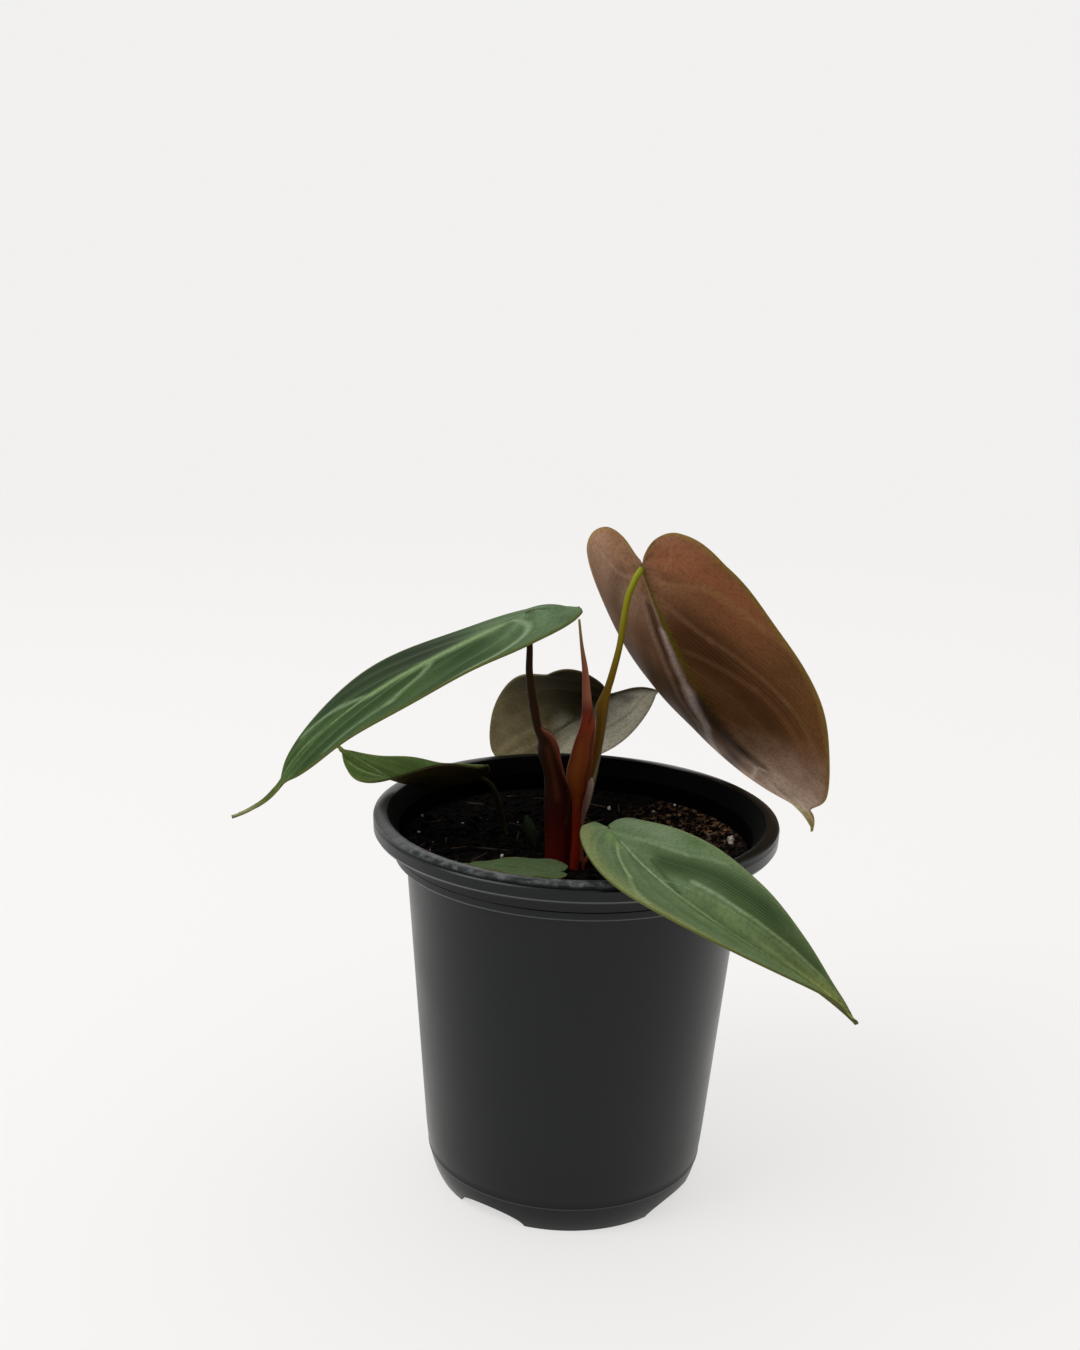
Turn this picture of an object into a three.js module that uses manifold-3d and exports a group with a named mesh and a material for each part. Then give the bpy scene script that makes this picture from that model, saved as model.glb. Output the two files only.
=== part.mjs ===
// A young heart-leaved philodendron in its round moulded nursery pot.
// Millimetres, +Z up, +Y away from the front. Everything is laid out round the pot's own axis and
// the finished group is shifted at the end, so that the origin lies below the middle of its box.

import * as THREE from 'three';
import { mergeVertices } from 'three/addons/utils/BufferGeometryUtils.js';
import Module from 'manifold-3d';

// Pot: a thin shell with a turned-down rim, a collar, and a foot ring cut into four feet
const POT_HEIGHT = 103;
const RIM_RADIUS = 53.5;
const RIM_SKIRT_DROP = 5.2;
const COLLAR_RADIUS = 47.9;
const COLLAR_BOTTOM = 91.6;
const WALL_TOP_RADIUS = 44.8;
const WALL_SLOPE = 0.0856;
const BASE_CURVE_HEIGHT = 23;
const BASE_CURVE_INSET = 2.3;
const POT_WALL = 1.2;
const FLOOR_UNDERSIDE = 4.4;
const FLOOR_THICKNESS = 1.2;
const RIDGE_HEIGHT = 7.8;
const RIDGE_RELIEF = 0.4;
const POT_SEGMENTS = 48;
const FOOT_COUNT = 4;
const FOOT_GAP_ANGLE = 34;
const FOOT_GAP_HEIGHT = 3.9;
const FIRST_FOOT_GAP = -124;
const DRAIN_RADIUS = 4;
const DRAIN_CIRCLE = 25;

// Soil: a dished, lumpy surface that reaches over the pot's inner ledge
const CLEARANCE = 0.3;
const SOIL_CLEARANCE = 0.42;
const SOIL_MIDDLE = 90.4;
const SOIL_EDGE = 94;
const SOIL_EDGE_RADIUS = 46.2;
const SOIL_LUMPS = 0.45;

// Crown: the short buried stem that the leaf stalks stand on, with the main roots
const CROWN = new THREE.Vector3(-3.2, -6.2, 88.6);
const CROWN_RADIUS = 5.8;
const CROWN_DEPTH = 22;
const ROOT_COUNT = 7;
const ROOT_RADIUS = 1.2;
const ROOT_REACH = 31;
const ROOT_DEPTH = 70;
const STALK_START = CROWN.z + CLEARANCE;

// Blades: one outline and one way of bending for every leaf
const BLADE_THICKNESS = 0.8;
const BLADE_ROWS = 22;
const BLADE_COLUMNS = 3;
const LOBE_REACH = 0.3;
const MIDRIB_STEPS = 130;
const FAN_SHARE = 0.12;
const NOTCH_SHARE = 0.06;
const WIDEST_AT = 0.22;
const SHOULDER_AT = 0.9;
const SHOULDER_REACH = 0.08;
const WAVE_COUNT = 5;
const STALK_SIDES = 10;
const STALK_STEPS = 22;
const STALK_END_GAP = 0.2;

const COLOURS = {
  pot: 0x262a2b,
  soil: 0x2a1c14,
  root: 0xa88a63,
  leafTop: 0x4c6a44,
  leafRed: 0x75452f,
  leafOlive: 0x5d5a41,
  stalkDark: 0x4a1c10,
  stalkOlive: 0x8a7a1c,
  stalkGreen: 0x5c6440,
  sheathRed: 0x6e2214,
  sheathOrange: 0x7c3a1e,
  sheathPale: 0xb98a72,
};

const wasm = await Module();
wasm.setup();

const radians = THREE.MathUtils.degToRad;
const plant = new THREE.Group();

// Solids to and from the boolean library
function toSolid(geometry) {
  const bare = geometry.clone();
  bare.deleteAttribute('normal');
  bare.deleteAttribute('uv');
  const merged = mergeVertices(bare, 1e-4);
  return new wasm.Manifold(new wasm.Mesh({
    numProp: 3,
    vertProperties: new Float32Array(merged.attributes.position.array),
    triVerts: new Uint32Array(merged.index.array),
  }));
}

function toGeometry(solid) {
  const mesh = solid.getMesh();
  const geometry = new THREE.BufferGeometry();
  geometry.setAttribute('position', new THREE.BufferAttribute(new Float32Array(mesh.vertProperties), 3));
  geometry.setIndex(new THREE.BufferAttribute(new Uint32Array(mesh.triVerts), 1));
  geometry.computeVertexNormals();
  return geometry;
}

function addMesh(name, geometry, colour, roughness) {
  const material = new THREE.MeshStandardMaterial({ color: colour, roughness, metalness: 0 });
  const mesh = new THREE.Mesh(geometry, material);
  mesh.name = name;
  plant.add(mesh);
}

// A lathe turns round +Y, so it is stood up to turn round +Z
function turned(points, segments) {
  const profile = points.map(([radius, height]) => new THREE.Vector2(radius, height));
  return new THREE.LatheGeometry(profile, segments).rotateX(Math.PI / 2);
}

// A round tube whose radius changes from point to point: a unit cylinder laid along the curve.
// With extra it is fatter and longer at both ends, the hole for the tube itself.
function taperedTube(points, radii, extra = 0, sides = STALK_SIDES, steps = STALK_STEPS) {
  const curve = new THREE.CatmullRomCurve3(points, false, 'centripetal');
  const frames = curve.computeFrenetFrames(steps);
  const tube = new THREE.CylinderGeometry(1, 1, 1, sides, steps);
  const position = tube.attributes.position;
  const vertex = new THREE.Vector3();
  for (let i = 0; i < position.count; i += 1) {
    vertex.fromBufferAttribute(position, i);
    const share = vertex.y + 0.5;
    const step = Math.round(share * steps);
    const place = curve.getUtoTmapping(share) * (radii.length - 1);
    const before = Math.min(Math.floor(place), radii.length - 2);
    const radius = THREE.MathUtils.lerp(radii[before], radii[before + 1], place - before) + extra;
    const longer = extra * (step === steps ? 1 : 0) - extra * (step === 0 ? 1 : 0);
    const centre = curve.getPointAt(share)
      .addScaledVector(frames.tangents[step], longer)
      .addScaledVector(frames.normals[step], vertex.x * radius)
      .addScaledVector(frames.binormals[step], -vertex.z * radius);
    position.setXYZ(i, centre.x, centre.y, centre.z);
  }
  return tube;
}

// Outside radius of the pot's wall at a height: a straight taper, tucked in near the base
function wallRadius(height) {
  const tuck = Math.max(0, (BASE_CURVE_HEIGHT - height) / BASE_CURVE_HEIGHT);
  return WALL_TOP_RADIUS - (COLLAR_BOTTOM - height) * WALL_SLOPE - BASE_CURVE_INSET * tuck ** 5;
}

function insideRadius(height) {
  return wallRadius(height) - POT_WALL;
}

const LEDGE_INNER = COLLAR_BOTTOM + 0.8;
const LEDGE_OUTER = COLLAR_BOTTOM + 1.6;
const COLLAR_INSIDE = COLLAR_RADIUS - POT_WALL;
const FLOOR_TOP = FLOOR_UNDERSIDE + FLOOR_THICKNESS;

function makePot() {
  const skirtBottom = POT_HEIGHT - RIM_SKIRT_DROP;
  const outside = [0, 2.5, 5, 7.2].map((height) => [wallRadius(height), height]);
  outside.push([wallRadius(RIDGE_HEIGHT) + RIDGE_RELIEF, RIDGE_HEIGHT]);
  for (const height of [8.4, 12, 16, BASE_CURVE_HEIGHT, COLLAR_BOTTOM - 0.8]) {
    outside.push([wallRadius(height), height]);
  }
  const rim = [
    [COLLAR_RADIUS - 0.3, COLLAR_BOTTOM],
    [COLLAR_RADIUS, COLLAR_BOTTOM + 0.6],
    [COLLAR_RADIUS + 0.4, skirtBottom + 2.6],
    [RIM_RADIUS - 1.7, skirtBottom + 2.6],
    [RIM_RADIUS - 1.6, skirtBottom],
    [RIM_RADIUS - 0.5, skirtBottom],
    [RIM_RADIUS - 0.1, POT_HEIGHT - 1.8],
    [RIM_RADIUS - 0.5, POT_HEIGHT - 1.5],
    [RIM_RADIUS, POT_HEIGHT - 1.1],
    [RIM_RADIUS - 0.4, POT_HEIGHT - 0.4],
    [RIM_RADIUS - 1.4, POT_HEIGHT],
    [RIM_RADIUS - 2.9, POT_HEIGHT],
    [RIM_RADIUS - 4, POT_HEIGHT - 0.5],
    [COLLAR_INSIDE + 0.6, POT_HEIGHT - 3.5],
    [COLLAR_INSIDE, LEDGE_OUTER],
    [insideRadius(COLLAR_BOTTOM), LEDGE_INNER],
  ];
  const inside = [BASE_CURVE_HEIGHT, 14, 9, FLOOR_TOP].map((height) => [insideRadius(height), height]);
  const profile = [
    [0, FLOOR_UNDERSIDE],
    [wallRadius(FLOOR_UNDERSIDE) - 1.4, FLOOR_UNDERSIDE],
    [wallRadius(0) - 1.4, 0],
    ...outside,
    ...rim,
    ...inside,
    [0, FLOOR_TOP],
  ];
  let pot = toSolid(turned(profile, POT_SEGMENTS));

  const halfGap = wallRadius(0) * Math.sin(radians(FOOT_GAP_ANGLE / 2));
  const arch = new THREE.Shape();
  arch.moveTo(-halfGap, -1);
  arch.lineTo(halfGap, -1);
  arch.lineTo(halfGap * 0.75, FOOT_GAP_HEIGHT * 0.75);
  arch.quadraticCurveTo(halfGap * 0.65, FOOT_GAP_HEIGHT, halfGap * 0.4, FOOT_GAP_HEIGHT);
  arch.lineTo(-halfGap * 0.4, FOOT_GAP_HEIGHT);
  arch.quadraticCurveTo(-halfGap * 0.65, FOOT_GAP_HEIGHT, -halfGap * 0.75, FOOT_GAP_HEIGHT * 0.75);
  arch.closePath();
  for (let foot = 0; foot < FOOT_COUNT; foot += 1) {
    const turn = radians(FIRST_FOOT_GAP + (foot * 360) / FOOT_COUNT);
    const gap = new THREE.ExtrudeGeometry(arch, { depth: 14, bevelEnabled: false, curveSegments: 3 })
      .rotateX(Math.PI / 2)
      .rotateZ(Math.PI / 2)
      .translate(28, 0, 0)
      .rotateZ(turn);
    const drain = new THREE.CylinderGeometry(DRAIN_RADIUS, DRAIN_RADIUS, 6, 16)
      .rotateX(Math.PI / 2)
      .translate(DRAIN_CIRCLE, 0, FLOOR_TOP - FLOOR_THICKNESS / 2)
      .rotateZ(turn);
    pot = pot.subtract(toSolid(gap)).subtract(toSolid(drain));
  }
  addMesh('pot', toGeometry(pot), COLOURS.pot, 0.45);
}

// Blade outline, half of it: x over the half width and y over the length, from the notch at the
// stalk, round the back lobe and the widest place, to the shoulder of the drip tip
const HEART_OUTLINE = [
  [0, 0], [0.07, -0.055], [0.24, -0.125], [0.5, -0.145], [0.78, -0.085], [0.96, 0.055],
  [1, 0.22], [0.93, 0.41], [0.74, 0.6], [0.47, 0.77], [0.21, 0.9], [0.07, 0.965], [0.035, 1],
];

// What a leaf is when its own entry says nothing else. Angles in degrees, along the midrib from
// the stalk (0) to the tip (1): direction = heading + turn + turnMore, slope = rise + bend +
// bendMore, tilt = roll + twist + twistMore. fold lifts each half at base, middle and tip, and
// curl lifts it more towards its edge. backLift raises a back lobe. flick bends the drip tip.
const PLAIN_LEAF = {
  turn: 0, turnMore: 0, bend: 0, bendMore: 0, roll: 0, twist: 0, twistMore: 0,
  foldLeft: [0, 0, 0], foldRight: [0, 0, 0], curlLeft: 0, curlRight: 0,
  belly: 0, taper: 0, blunt: 0, lobes: 1, dripTip: 0.06, flick: 0, backLiftLeft: 0, backLiftRight: 0,
  wave: 0.35, rows: BLADE_ROWS, columns: BLADE_COLUMNS,
};

const LEAVES = {
  upper_right: {
    attach: [15.2, 12.2, 166.9], heading: 32.4, turn: -41.3, turnMore: 31.9,
    rise: -65.8, bend: 23.3, bendMore: 7.5, roll: -25, twist: 8.7, twistMore: 1.2,
    length: 99.3, halfWidth: 32.3, foldLeft: [10.6, -2.9, 9.6], foldRight: [0.5, 17.4, -15.4],
    curlLeft: 35, curlRight: -14, belly: 1.19, taper: 0.7, blunt: 0.17, lobes: 0.62,
    dripTip: 0.07, flick: -53, backLiftLeft: 35.4, backLiftRight: 4, colour: COLOURS.leafRed,
  },
  upper_left: {
    attach: [-14.9, -7.3, 157.2], heading: 183, turn: -1, turnMore: 10,
    rise: -27, bend: 9, bendMore: -57, roll: -2.5, twist: -8, twistMore: -2.5,
    length: 93, halfWidth: 25, foldLeft: [-7, -5, -2], foldRight: [-13, -2, 3],
    curlLeft: 12, belly: 0.37, taper: 0.94, dripTip: 0.15,
    flick: 59, backLiftLeft: -4, backLiftRight: -22, colour: COLOURS.leafTop,
  },
  back: {
    attach: [8.6, 43.3, 123.3], heading: 146.3, turn: -23.4, turnMore: -12.7,
    rise: -39.8, bend: 7.8, bendMore: 11.4, roll: 37.4, twist: 1.5, twistMore: -6.6,
    length: 62.9, halfWidth: 23, foldLeft: [9, 29, 2.5], foldRight: [26, 7, 11],
    curlLeft: -33, curlRight: -1, belly: 0.07, taper: 0.68, lobes: 0.47,
    backLiftLeft: -13.5, backLiftRight: -3, colour: COLOURS.leafOlive,
  },
  left: {
    attach: [-26.5, 15.6, 106.6], heading: 195.3, turn: -53.5, turnMore: 31.5,
    rise: -20.9, bend: 62.5, bendMore: 1.6, roll: -4, twist: -32, twistMore: -15.6,
    length: 42.3, halfWidth: 9.3, foldLeft: [49, 55, -55], foldRight: [12, 12, -43],
    curlLeft: -2.4, curlRight: -16.6, belly: 0.49, taper: -0.54, lobes: 0.54, dripTip: 0.03,
    rows: 18, colour: COLOURS.leafTop,
  },
  front: {
    attach: [7.7, -26.8, 107.4], heading: -71.4, turn: 22.4, turnMore: 61.7,
    rise: -7.3, bend: 11.6, bendMore: -50, roll: 6.8, twist: 10.6, twistMore: 10,
    length: 86.3, halfWidth: 12.8, foldLeft: [9, 31, 47], foldRight: [11, 25, 46],
    curlLeft: 6.5, curlRight: 1.8, belly: 0.34, taper: -1.41, lobes: 0.41, dripTip: 0.02,
    flick: -1, backLiftLeft: -38.4, backLiftRight: -20, colour: COLOURS.leafTop,
  },
  small: {
    attach: [-4.6, -18.2, 92.6], heading: 178, rise: 1, bend: 2,
    length: 25, halfWidth: 6.5, foldLeft: [4, 6, 4], foldRight: [4, 6, 4],
    lobes: 0.7, wave: 0.2, rows: 10, columns: 2, colour: COLOURS.leafTop,
  },
};

// The midrib's line and, at any share of its length, the blade's sideways and upward directions
function makeMidrib(leaf) {
  function anglesAt(share) {
    const along = Math.max(share, 0);
    const drip = leaf.dripTip * 1.2;
    const flick = leaf.flick * THREE.MathUtils.clamp((share - 1 + drip) / drip, 0, 1);
    return {
      slope: radians(leaf.rise + leaf.bend * along + leaf.bendMore * along ** 2 + flick),
      course: radians(leaf.heading + leaf.turn * along + leaf.turnMore * along ** 2),
      tilt: radians(leaf.roll + leaf.twist * along + leaf.twistMore * along ** 2),
    };
  }
  function forwardAt(share) {
    const { slope, course } = anglesAt(share);
    const level = Math.cos(slope);
    return new THREE.Vector3(level * Math.cos(course), level * Math.sin(course), Math.sin(slope));
  }
  const span = (1 + LOBE_REACH) / MIDRIB_STEPS;
  const line = [new THREE.Vector3()];
  for (let step = 1; step <= MIDRIB_STEPS; step += 1) {
    const middle = (step - 0.5) * span - LOBE_REACH;
    line.push(line[step - 1].clone().addScaledVector(forwardAt(middle), span * leaf.length));
  }
  function alongLine(share) {
    const place = THREE.MathUtils.clamp((share + LOBE_REACH) / span, 0, MIDRIB_STEPS - 1e-9);
    const step = Math.floor(place);
    return line[step].clone().lerp(line[step + 1], place - step);
  }
  const shift = new THREE.Vector3(...leaf.attach).sub(alongLine(0));
  return (share) => {
    const { course, tilt } = anglesAt(share);
    const forward = forwardAt(share);
    const level = new THREE.Vector3(-Math.sin(course), Math.cos(course), 0);
    const raised = new THREE.Vector3().crossVectors(forward, level);
    return {
      point: alongLine(share).add(shift),
      side: level.clone().multiplyScalar(Math.cos(tilt)).addScaledVector(raised, Math.sin(tilt)),
      up: raised.clone().multiplyScalar(Math.cos(tilt)).addScaledVector(level, -Math.sin(tilt)),
    };
  };
}

// Lift of one half at a share of the length: a parabola through the base, middle and tip values
function foldAt([base, middle, tip], share) {
  const along = THREE.MathUtils.clamp(share, 0, 1);
  return base * (1 - along) * (1 - 2 * along)
    + middle * 4 * along * (1 - along)
    + tip * along * (2 * along - 1);
}

// A blade's middle surface as rows that fan out from the stalk, from the side of the notch to the
// tip, then closed to a solid whose two faces are split into triangles alike
function makeBlade(entry) {
  const leaf = { ...PLAIN_LEAF, ...entry };
  const midrib = makeMidrib(leaf);
  const outline = HEART_OUTLINE.map(([x, y]) => new THREE.Vector3(
    x * Math.exp(leaf.belly * (y - WIDEST_AT) + leaf.taper * (y - WIDEST_AT) * (y - 0.9))
      * (1 + leaf.blunt * Math.exp(-(((y - SHOULDER_AT) / SHOULDER_REACH) ** 2))),
    y < 0 ? y * leaf.lobes : y * (1 - leaf.dripTip),
    0,
  ));
  outline.push(new THREE.Vector3(0, 1, 0));
  const edge = new THREE.CatmullRomCurve3(outline, false, 'catmullrom', 0.5);

  const points = [];
  const grid = [-1, 1].map(() => []);
  const halves = [
    { hand: 1, fold: leaf.foldLeft, curl: leaf.curlLeft, backLift: leaf.backLiftLeft },
    { hand: -1, fold: leaf.foldRight, curl: leaf.curlRight, backLift: leaf.backLiftRight },
  ];
  halves.forEach(({ hand, fold, curl, backLift }, half) => {
    for (let row = 0; row <= leaf.rows; row += 1) {
      const share = NOTCH_SHARE + ((1 - NOTCH_SHARE) * row) / leaf.rows;
      const rim = edge.getPoint(share);
      const ribY = Math.max((share - FAN_SHARE) / (1 - FAN_SHARE), 0);
      grid[half].push([]);
      for (let column = 0; column <= leaf.columns; column += 1) {
        const across = column / leaf.columns;
        const x = across * Math.max(rim.x, 0);
        const y = (1 - across) * ribY + across * rim.y;
        const back = Math.max(-y, 0);
        const backAngle = radians(backLift) * Math.min(back / 0.12, 1);
        const lift = radians(foldAt(fold, y) + (curl * x) / 2);
        const wave = leaf.wave * across ** 3 * Math.sin(2 * Math.PI * WAVE_COUNT * share + 2 * half);
        const { point, side, up } = midrib(y < 0 ? -back * Math.cos(backAngle) : y);
        point.addScaledVector(side, hand * x * leaf.halfWidth * Math.cos(lift));
        point.addScaledVector(up, x * leaf.halfWidth * Math.sin(lift) + wave);
        point.addScaledVector(up, back * leaf.length * Math.sin(backAngle));
        grid[half][row].push(points.length);
        points.push(point);
      }
    }
  });

  const index = [];
  halves.forEach(({ hand }, half) => {
    for (let row = 0; row < leaf.rows; row += 1) {
      for (let column = 0; column < leaf.columns; column += 1) {
        const a = grid[half][row][column];
        const b = grid[half][row][column + 1];
        const c = grid[half][row + 1][column + 1];
        const d = grid[half][row + 1][column];
        index.push(...(hand > 0 ? [a, c, b, a, d, c] : [a, b, c, a, c, d]));
      }
    }
  });
  const loose = new THREE.BufferGeometry().setFromPoints(points);
  loose.setIndex(index);
  const sheet = mergeVertices(loose, 1e-3);
  const corners = [];
  const flat = sheet.index.array;
  for (let i = 0; i < flat.length; i += 3) {
    const [a, b, c] = [flat[i], flat[i + 1], flat[i + 2]];
    if (a !== b && b !== c && c !== a) corners.push([a, b, c]);
  }
  sheet.setIndex(corners.flat());
  sheet.computeVertexNormals();

  const count = sheet.attributes.position.count;
  const skin = [];
  for (const offset of [BLADE_THICKNESS / 2, -BLADE_THICKNESS / 2]) {
    for (let i = 0; i < count; i += 1) {
      const normal = new THREE.Vector3().fromBufferAttribute(sheet.attributes.normal, i);
      skin.push(new THREE.Vector3().fromBufferAttribute(sheet.attributes.position, i)
        .addScaledVector(normal, offset));
    }
  }
  const faces = [];
  const open = new Map();
  for (const [a, b, c] of corners) {
    faces.push(a, b, c, a + count, c + count, b + count);
    for (const [from, to] of [[a, b], [b, c], [c, a]]) {
      if (!open.delete(`${to} ${from}`)) open.set(`${from} ${to}`, [from, to]);
    }
  }
  for (const [from, to] of open.values()) {
    faces.push(from, from + count, to, to, from + count, to + count);
  }
  const solid = new THREE.BufferGeometry().setFromPoints(skin);
  solid.setIndex(faces);
  solid.computeVertexNormals();
  return solid;
}

// Leaf stalks, bottom to top: each point is x, y, z and the stalk's radius there. A stalk that
// carries a blade runs on to the blade's attachment and is trimmed just clear of it.
const STALKS = {
  upper_left: {
    path: [
      [-4.6, -6.2, STALK_START, 3.1], [-4.6, -6.2, 90.2, 3.2], [-4.6, -6.2, 97, 3.5],
      [-4.8, -6.2, 102.5, 3.6], [-5.1, -6.2, 108, 3.65], [-5.8, -6.2, 112.6, 3],
      [-6.4, -6.3, 115.4, 2.65], [-7.4, -6.5, 119, 2.75], [-8.1, -6.6, 122, 2.8],
      [-8.8, -6.6, 124.4, 2.2], [-10.7, -6.7, 127, 1.15], [-12, -7, 132.3, 1.15],
      [-13.5, -7.2, 141.6, 0.95], [-13.7, -7.3, 149.5, 0.8],
    ],
    endRadius: 0.75, colour: COLOURS.stalkDark,
  },
  upper_right: {
    path: [
      [-1, -2.5, STALK_START, 1.3], [-1, -2.5, 90.2, 1.35], [-0.4, -2.7, 101, 1.4],
      [1.2, -2.8, 108, 1.4], [3.2, -2.5, 116, 1.4], [5, -2, 123, 1.1], [5.4, -1.2, 128, 1.3],
      [5.6, 0.2, 131.5, 1.6], [6.9, 2.4, 135.5, 1.05], [8, 4.2, 139, 0.95],
      [9.8, 6.6, 146.5, 0.85], [10.7, 8.2, 153.5, 0.9], [11.7, 9.4, 159.5, 0.9],
      [13.3, 10.4, 163.6, 0.9],
    ],
    endRadius: 0.85, colour: COLOURS.stalkOlive,
  },
  back: {
    path: [
      [-4.1, -1.3, STALK_START, 1.15], [-4.1, -1.3, 90.2, 1.2], [-1.6, 0.6, 95.5, 1.2],
      [2.2, 6, 101.5, 1.15], [4.7, 14, 107.5, 0.8], [6.8, 27, 114.4, 0.75], [8.1, 37.6, 120.1, 0.85],
    ],
    endRadius: 0.8, colour: COLOURS.stalkGreen,
  },
  left: {
    path: [
      [-9.6, -0.4, 83.5, 1], [-11.4, 2.6, 84, 1], [-15, 9, 86, 0.95], [-18, 14.6, 89.2, 0.9],
      [-19.3, 16.3, 92.5, 0.85], [-20.4, 16.2, 97, 0.8], [-22, 15.9, 102, 0.75],
      [-23.6, 15.7, 104.6, 0.7],
    ],
    endRadius: 0.65, colour: COLOURS.stalkDark,
  },
  front: {
    path: [
      [2.6, -8.3, STALK_START + 0.2, 1], [2.7, -8.6, 90.4, 1.05], [3.4, -12.2, 94, 1.05],
      [4.8, -17.6, 99.4, 1], [6.3, -22.8, 103.9, 0.95],
    ],
    endRadius: 0.85, colour: COLOURS.sheathRed,
  },
  small: {
    path: [
      [-5.2, -10.8, STALK_START + 0.3, 0.7], [-5.2, -11.1, 90, 0.7], [-5, -13.4, 91.6, 0.65],
      [-4.7, -16, 92.1, 0.6],
    ],
    endRadius: 0.55, colour: COLOURS.stalkGreen,
  },
};

// Pieces without a blade: the rolled sheath of the next leaf with its long point, a dry scale
// beside it, and a sprout whose blade is still rolled up
const ROLLED = {
  sheath_new_leaf: {
    path: [
      [-0.2, -9.2, STALK_START, 1.3], [-0.2, -9.2, 90.2, 1.3], [0, -9.3, 97, 1.15],
      [-0.1, -9.4, 103, 1.1], [0, -9.5, 109, 1.55], [0, -9.6, 112.5, 2.4], [-0.2, -9.6, 116, 3],
      [0.5, -9.5, 120, 3], [1, -9.3, 124, 2.6], [1.7, -8.9, 128, 2.15], [1.7, -8.6, 131.5, 1.55],
      [1.3, -8.1, 136.2, 1.2], [0.6, -7.9, 143.3, 0.8], [-0.5, -7.7, 149.7, 0.45],
      [-1.4, -7.5, 156.3, 0.3],
    ],
    colour: COLOURS.sheathOrange,
  },
  scale_side: {
    path: [
      [1.7, -5.4, STALK_START, 0.65], [1.7, -5.4, 90.2, 0.65], [1.5, -5.7, 101.5, 0.5],
      [2.4, -6.2, 107.5, 0.85], [3.2, -6, 112, 0.85], [3.6, -5.9, 114, 0.3],
    ],
    colour: COLOURS.sheathPale,
  },
  leaf_sprout: {
    path: [
      [-9.3, 2.2, 86.6, 0.5], [-9.8, 3.8, 88.6, 0.5], [-10.6, 5.4, 90.6, 0.6],
      [-11.2, 6.5, 92.2, 1.3], [-11.9, 7.7, 94.2, 1.6], [-12.7, 8.9, 96.2, 1.1],
      [-13.4, 9.8, 97.8, 0.3],
    ],
    colour: COLOURS.leafTop,
  },
};

function splitPath(entry) {
  const points = entry.path.map(([x, y, z]) => new THREE.Vector3(x, y, z));
  const radii = entry.path.map((place) => place[3]);
  return { points, radii };
}

function stalkTube(name, extra = 0) {
  const { points, radii } = splitPath(STALKS[name]);
  points.push(new THREE.Vector3(...LEAVES[name].attach));
  radii.push(STALKS[name].endRadius);
  return taperedTube(points, radii, extra);
}

// A stalk ends just short of the blade, cut off level with the blade's underside
function makeStalk(name) {
  const leaf = { ...PLAIN_LEAF, ...LEAVES[name] };
  const { point, up } = makeMidrib(leaf)(0);
  const cut = BLADE_THICKNESS / 2 + CLEARANCE + STALK_END_GAP - point.dot(up);
  const stalk = toSolid(stalkTube(name)).trimByPlane(up.clone().negate().toArray(), cut);
  return toGeometry(stalk);
}

function makeLeaves() {
  for (const [name, leaf] of Object.entries(LEAVES)) {
    addMesh(`leaf_${name}`, makeBlade(leaf), leaf.colour, 0.5);
    addMesh(`stalk_${name}`, makeStalk(name), STALKS[name].colour, 0.5);
  }
  for (const [name, entry] of Object.entries(ROLLED)) {
    const { points, radii } = splitPath(entry);
    addMesh(name, taperedTube(points, radii), entry.colour, 0.5);
  }
}

// The crown with its roots, fattened by extra when it is the hole for itself
function crownSolid(extra = 0) {
  const profile = [
    [0, extra], [CROWN_RADIUS - 0.5 + extra, extra], [CROWN_RADIUS + extra, -0.8],
    [CROWN_RADIUS - 0.3 + extra, -7], [CROWN_RADIUS * 0.7 + extra, -14],
    [CROWN_RADIUS * 0.3 + extra, -CROWN_DEPTH + 1], [0, -CROWN_DEPTH - extra],
  ].reverse();
  let crown = toSolid(turned(profile, 20).translate(CROWN.x, CROWN.y, CROWN.z));
  for (let root = 0; root < ROOT_COUNT; root += 1) {
    const angle = (2 * Math.PI * (root + 0.3 * Math.sin(5 * root))) / ROOT_COUNT;
    const drop = ROOT_DEPTH * (0.85 + 0.15 * Math.cos(3 * root));
    const points = [[0, 0.16], [0.1, 0.2], [0.5, 0.36], [0.85, 0.62], [1, 1]].map(([out, down]) => (
      new THREE.Vector3(
        CROWN.x * (1 - out) + ROOT_REACH * out * Math.cos(angle + 0.5 * down),
        CROWN.y * (1 - out) + ROOT_REACH * out * Math.sin(angle + 0.5 * down),
        CROWN.z - drop * down,
      )));
    const radii = [1, 1, 0.85, 0.65, 0.45].map((share) => ROOT_RADIUS * share);
    crown = crown.add(toSolid(taperedTube(points, radii, extra, 6, 9)));
  }
  return crown;
}

function soilRelief(x, y) {
  const distance = Math.hypot(x, y) / SOIL_EDGE_RADIUS;
  const dish = SOIL_MIDDLE + (SOIL_EDGE - SOIL_MIDDLE) * distance ** 3;
  const lumps = Math.sin(0.42 * x + 1.3) * Math.cos(0.37 * y) + Math.sin(0.71 * y + 0.29 * x + 0.6);
  return dish + SOIL_LUMPS * lumps * (1 - distance ** 6);
}

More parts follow.
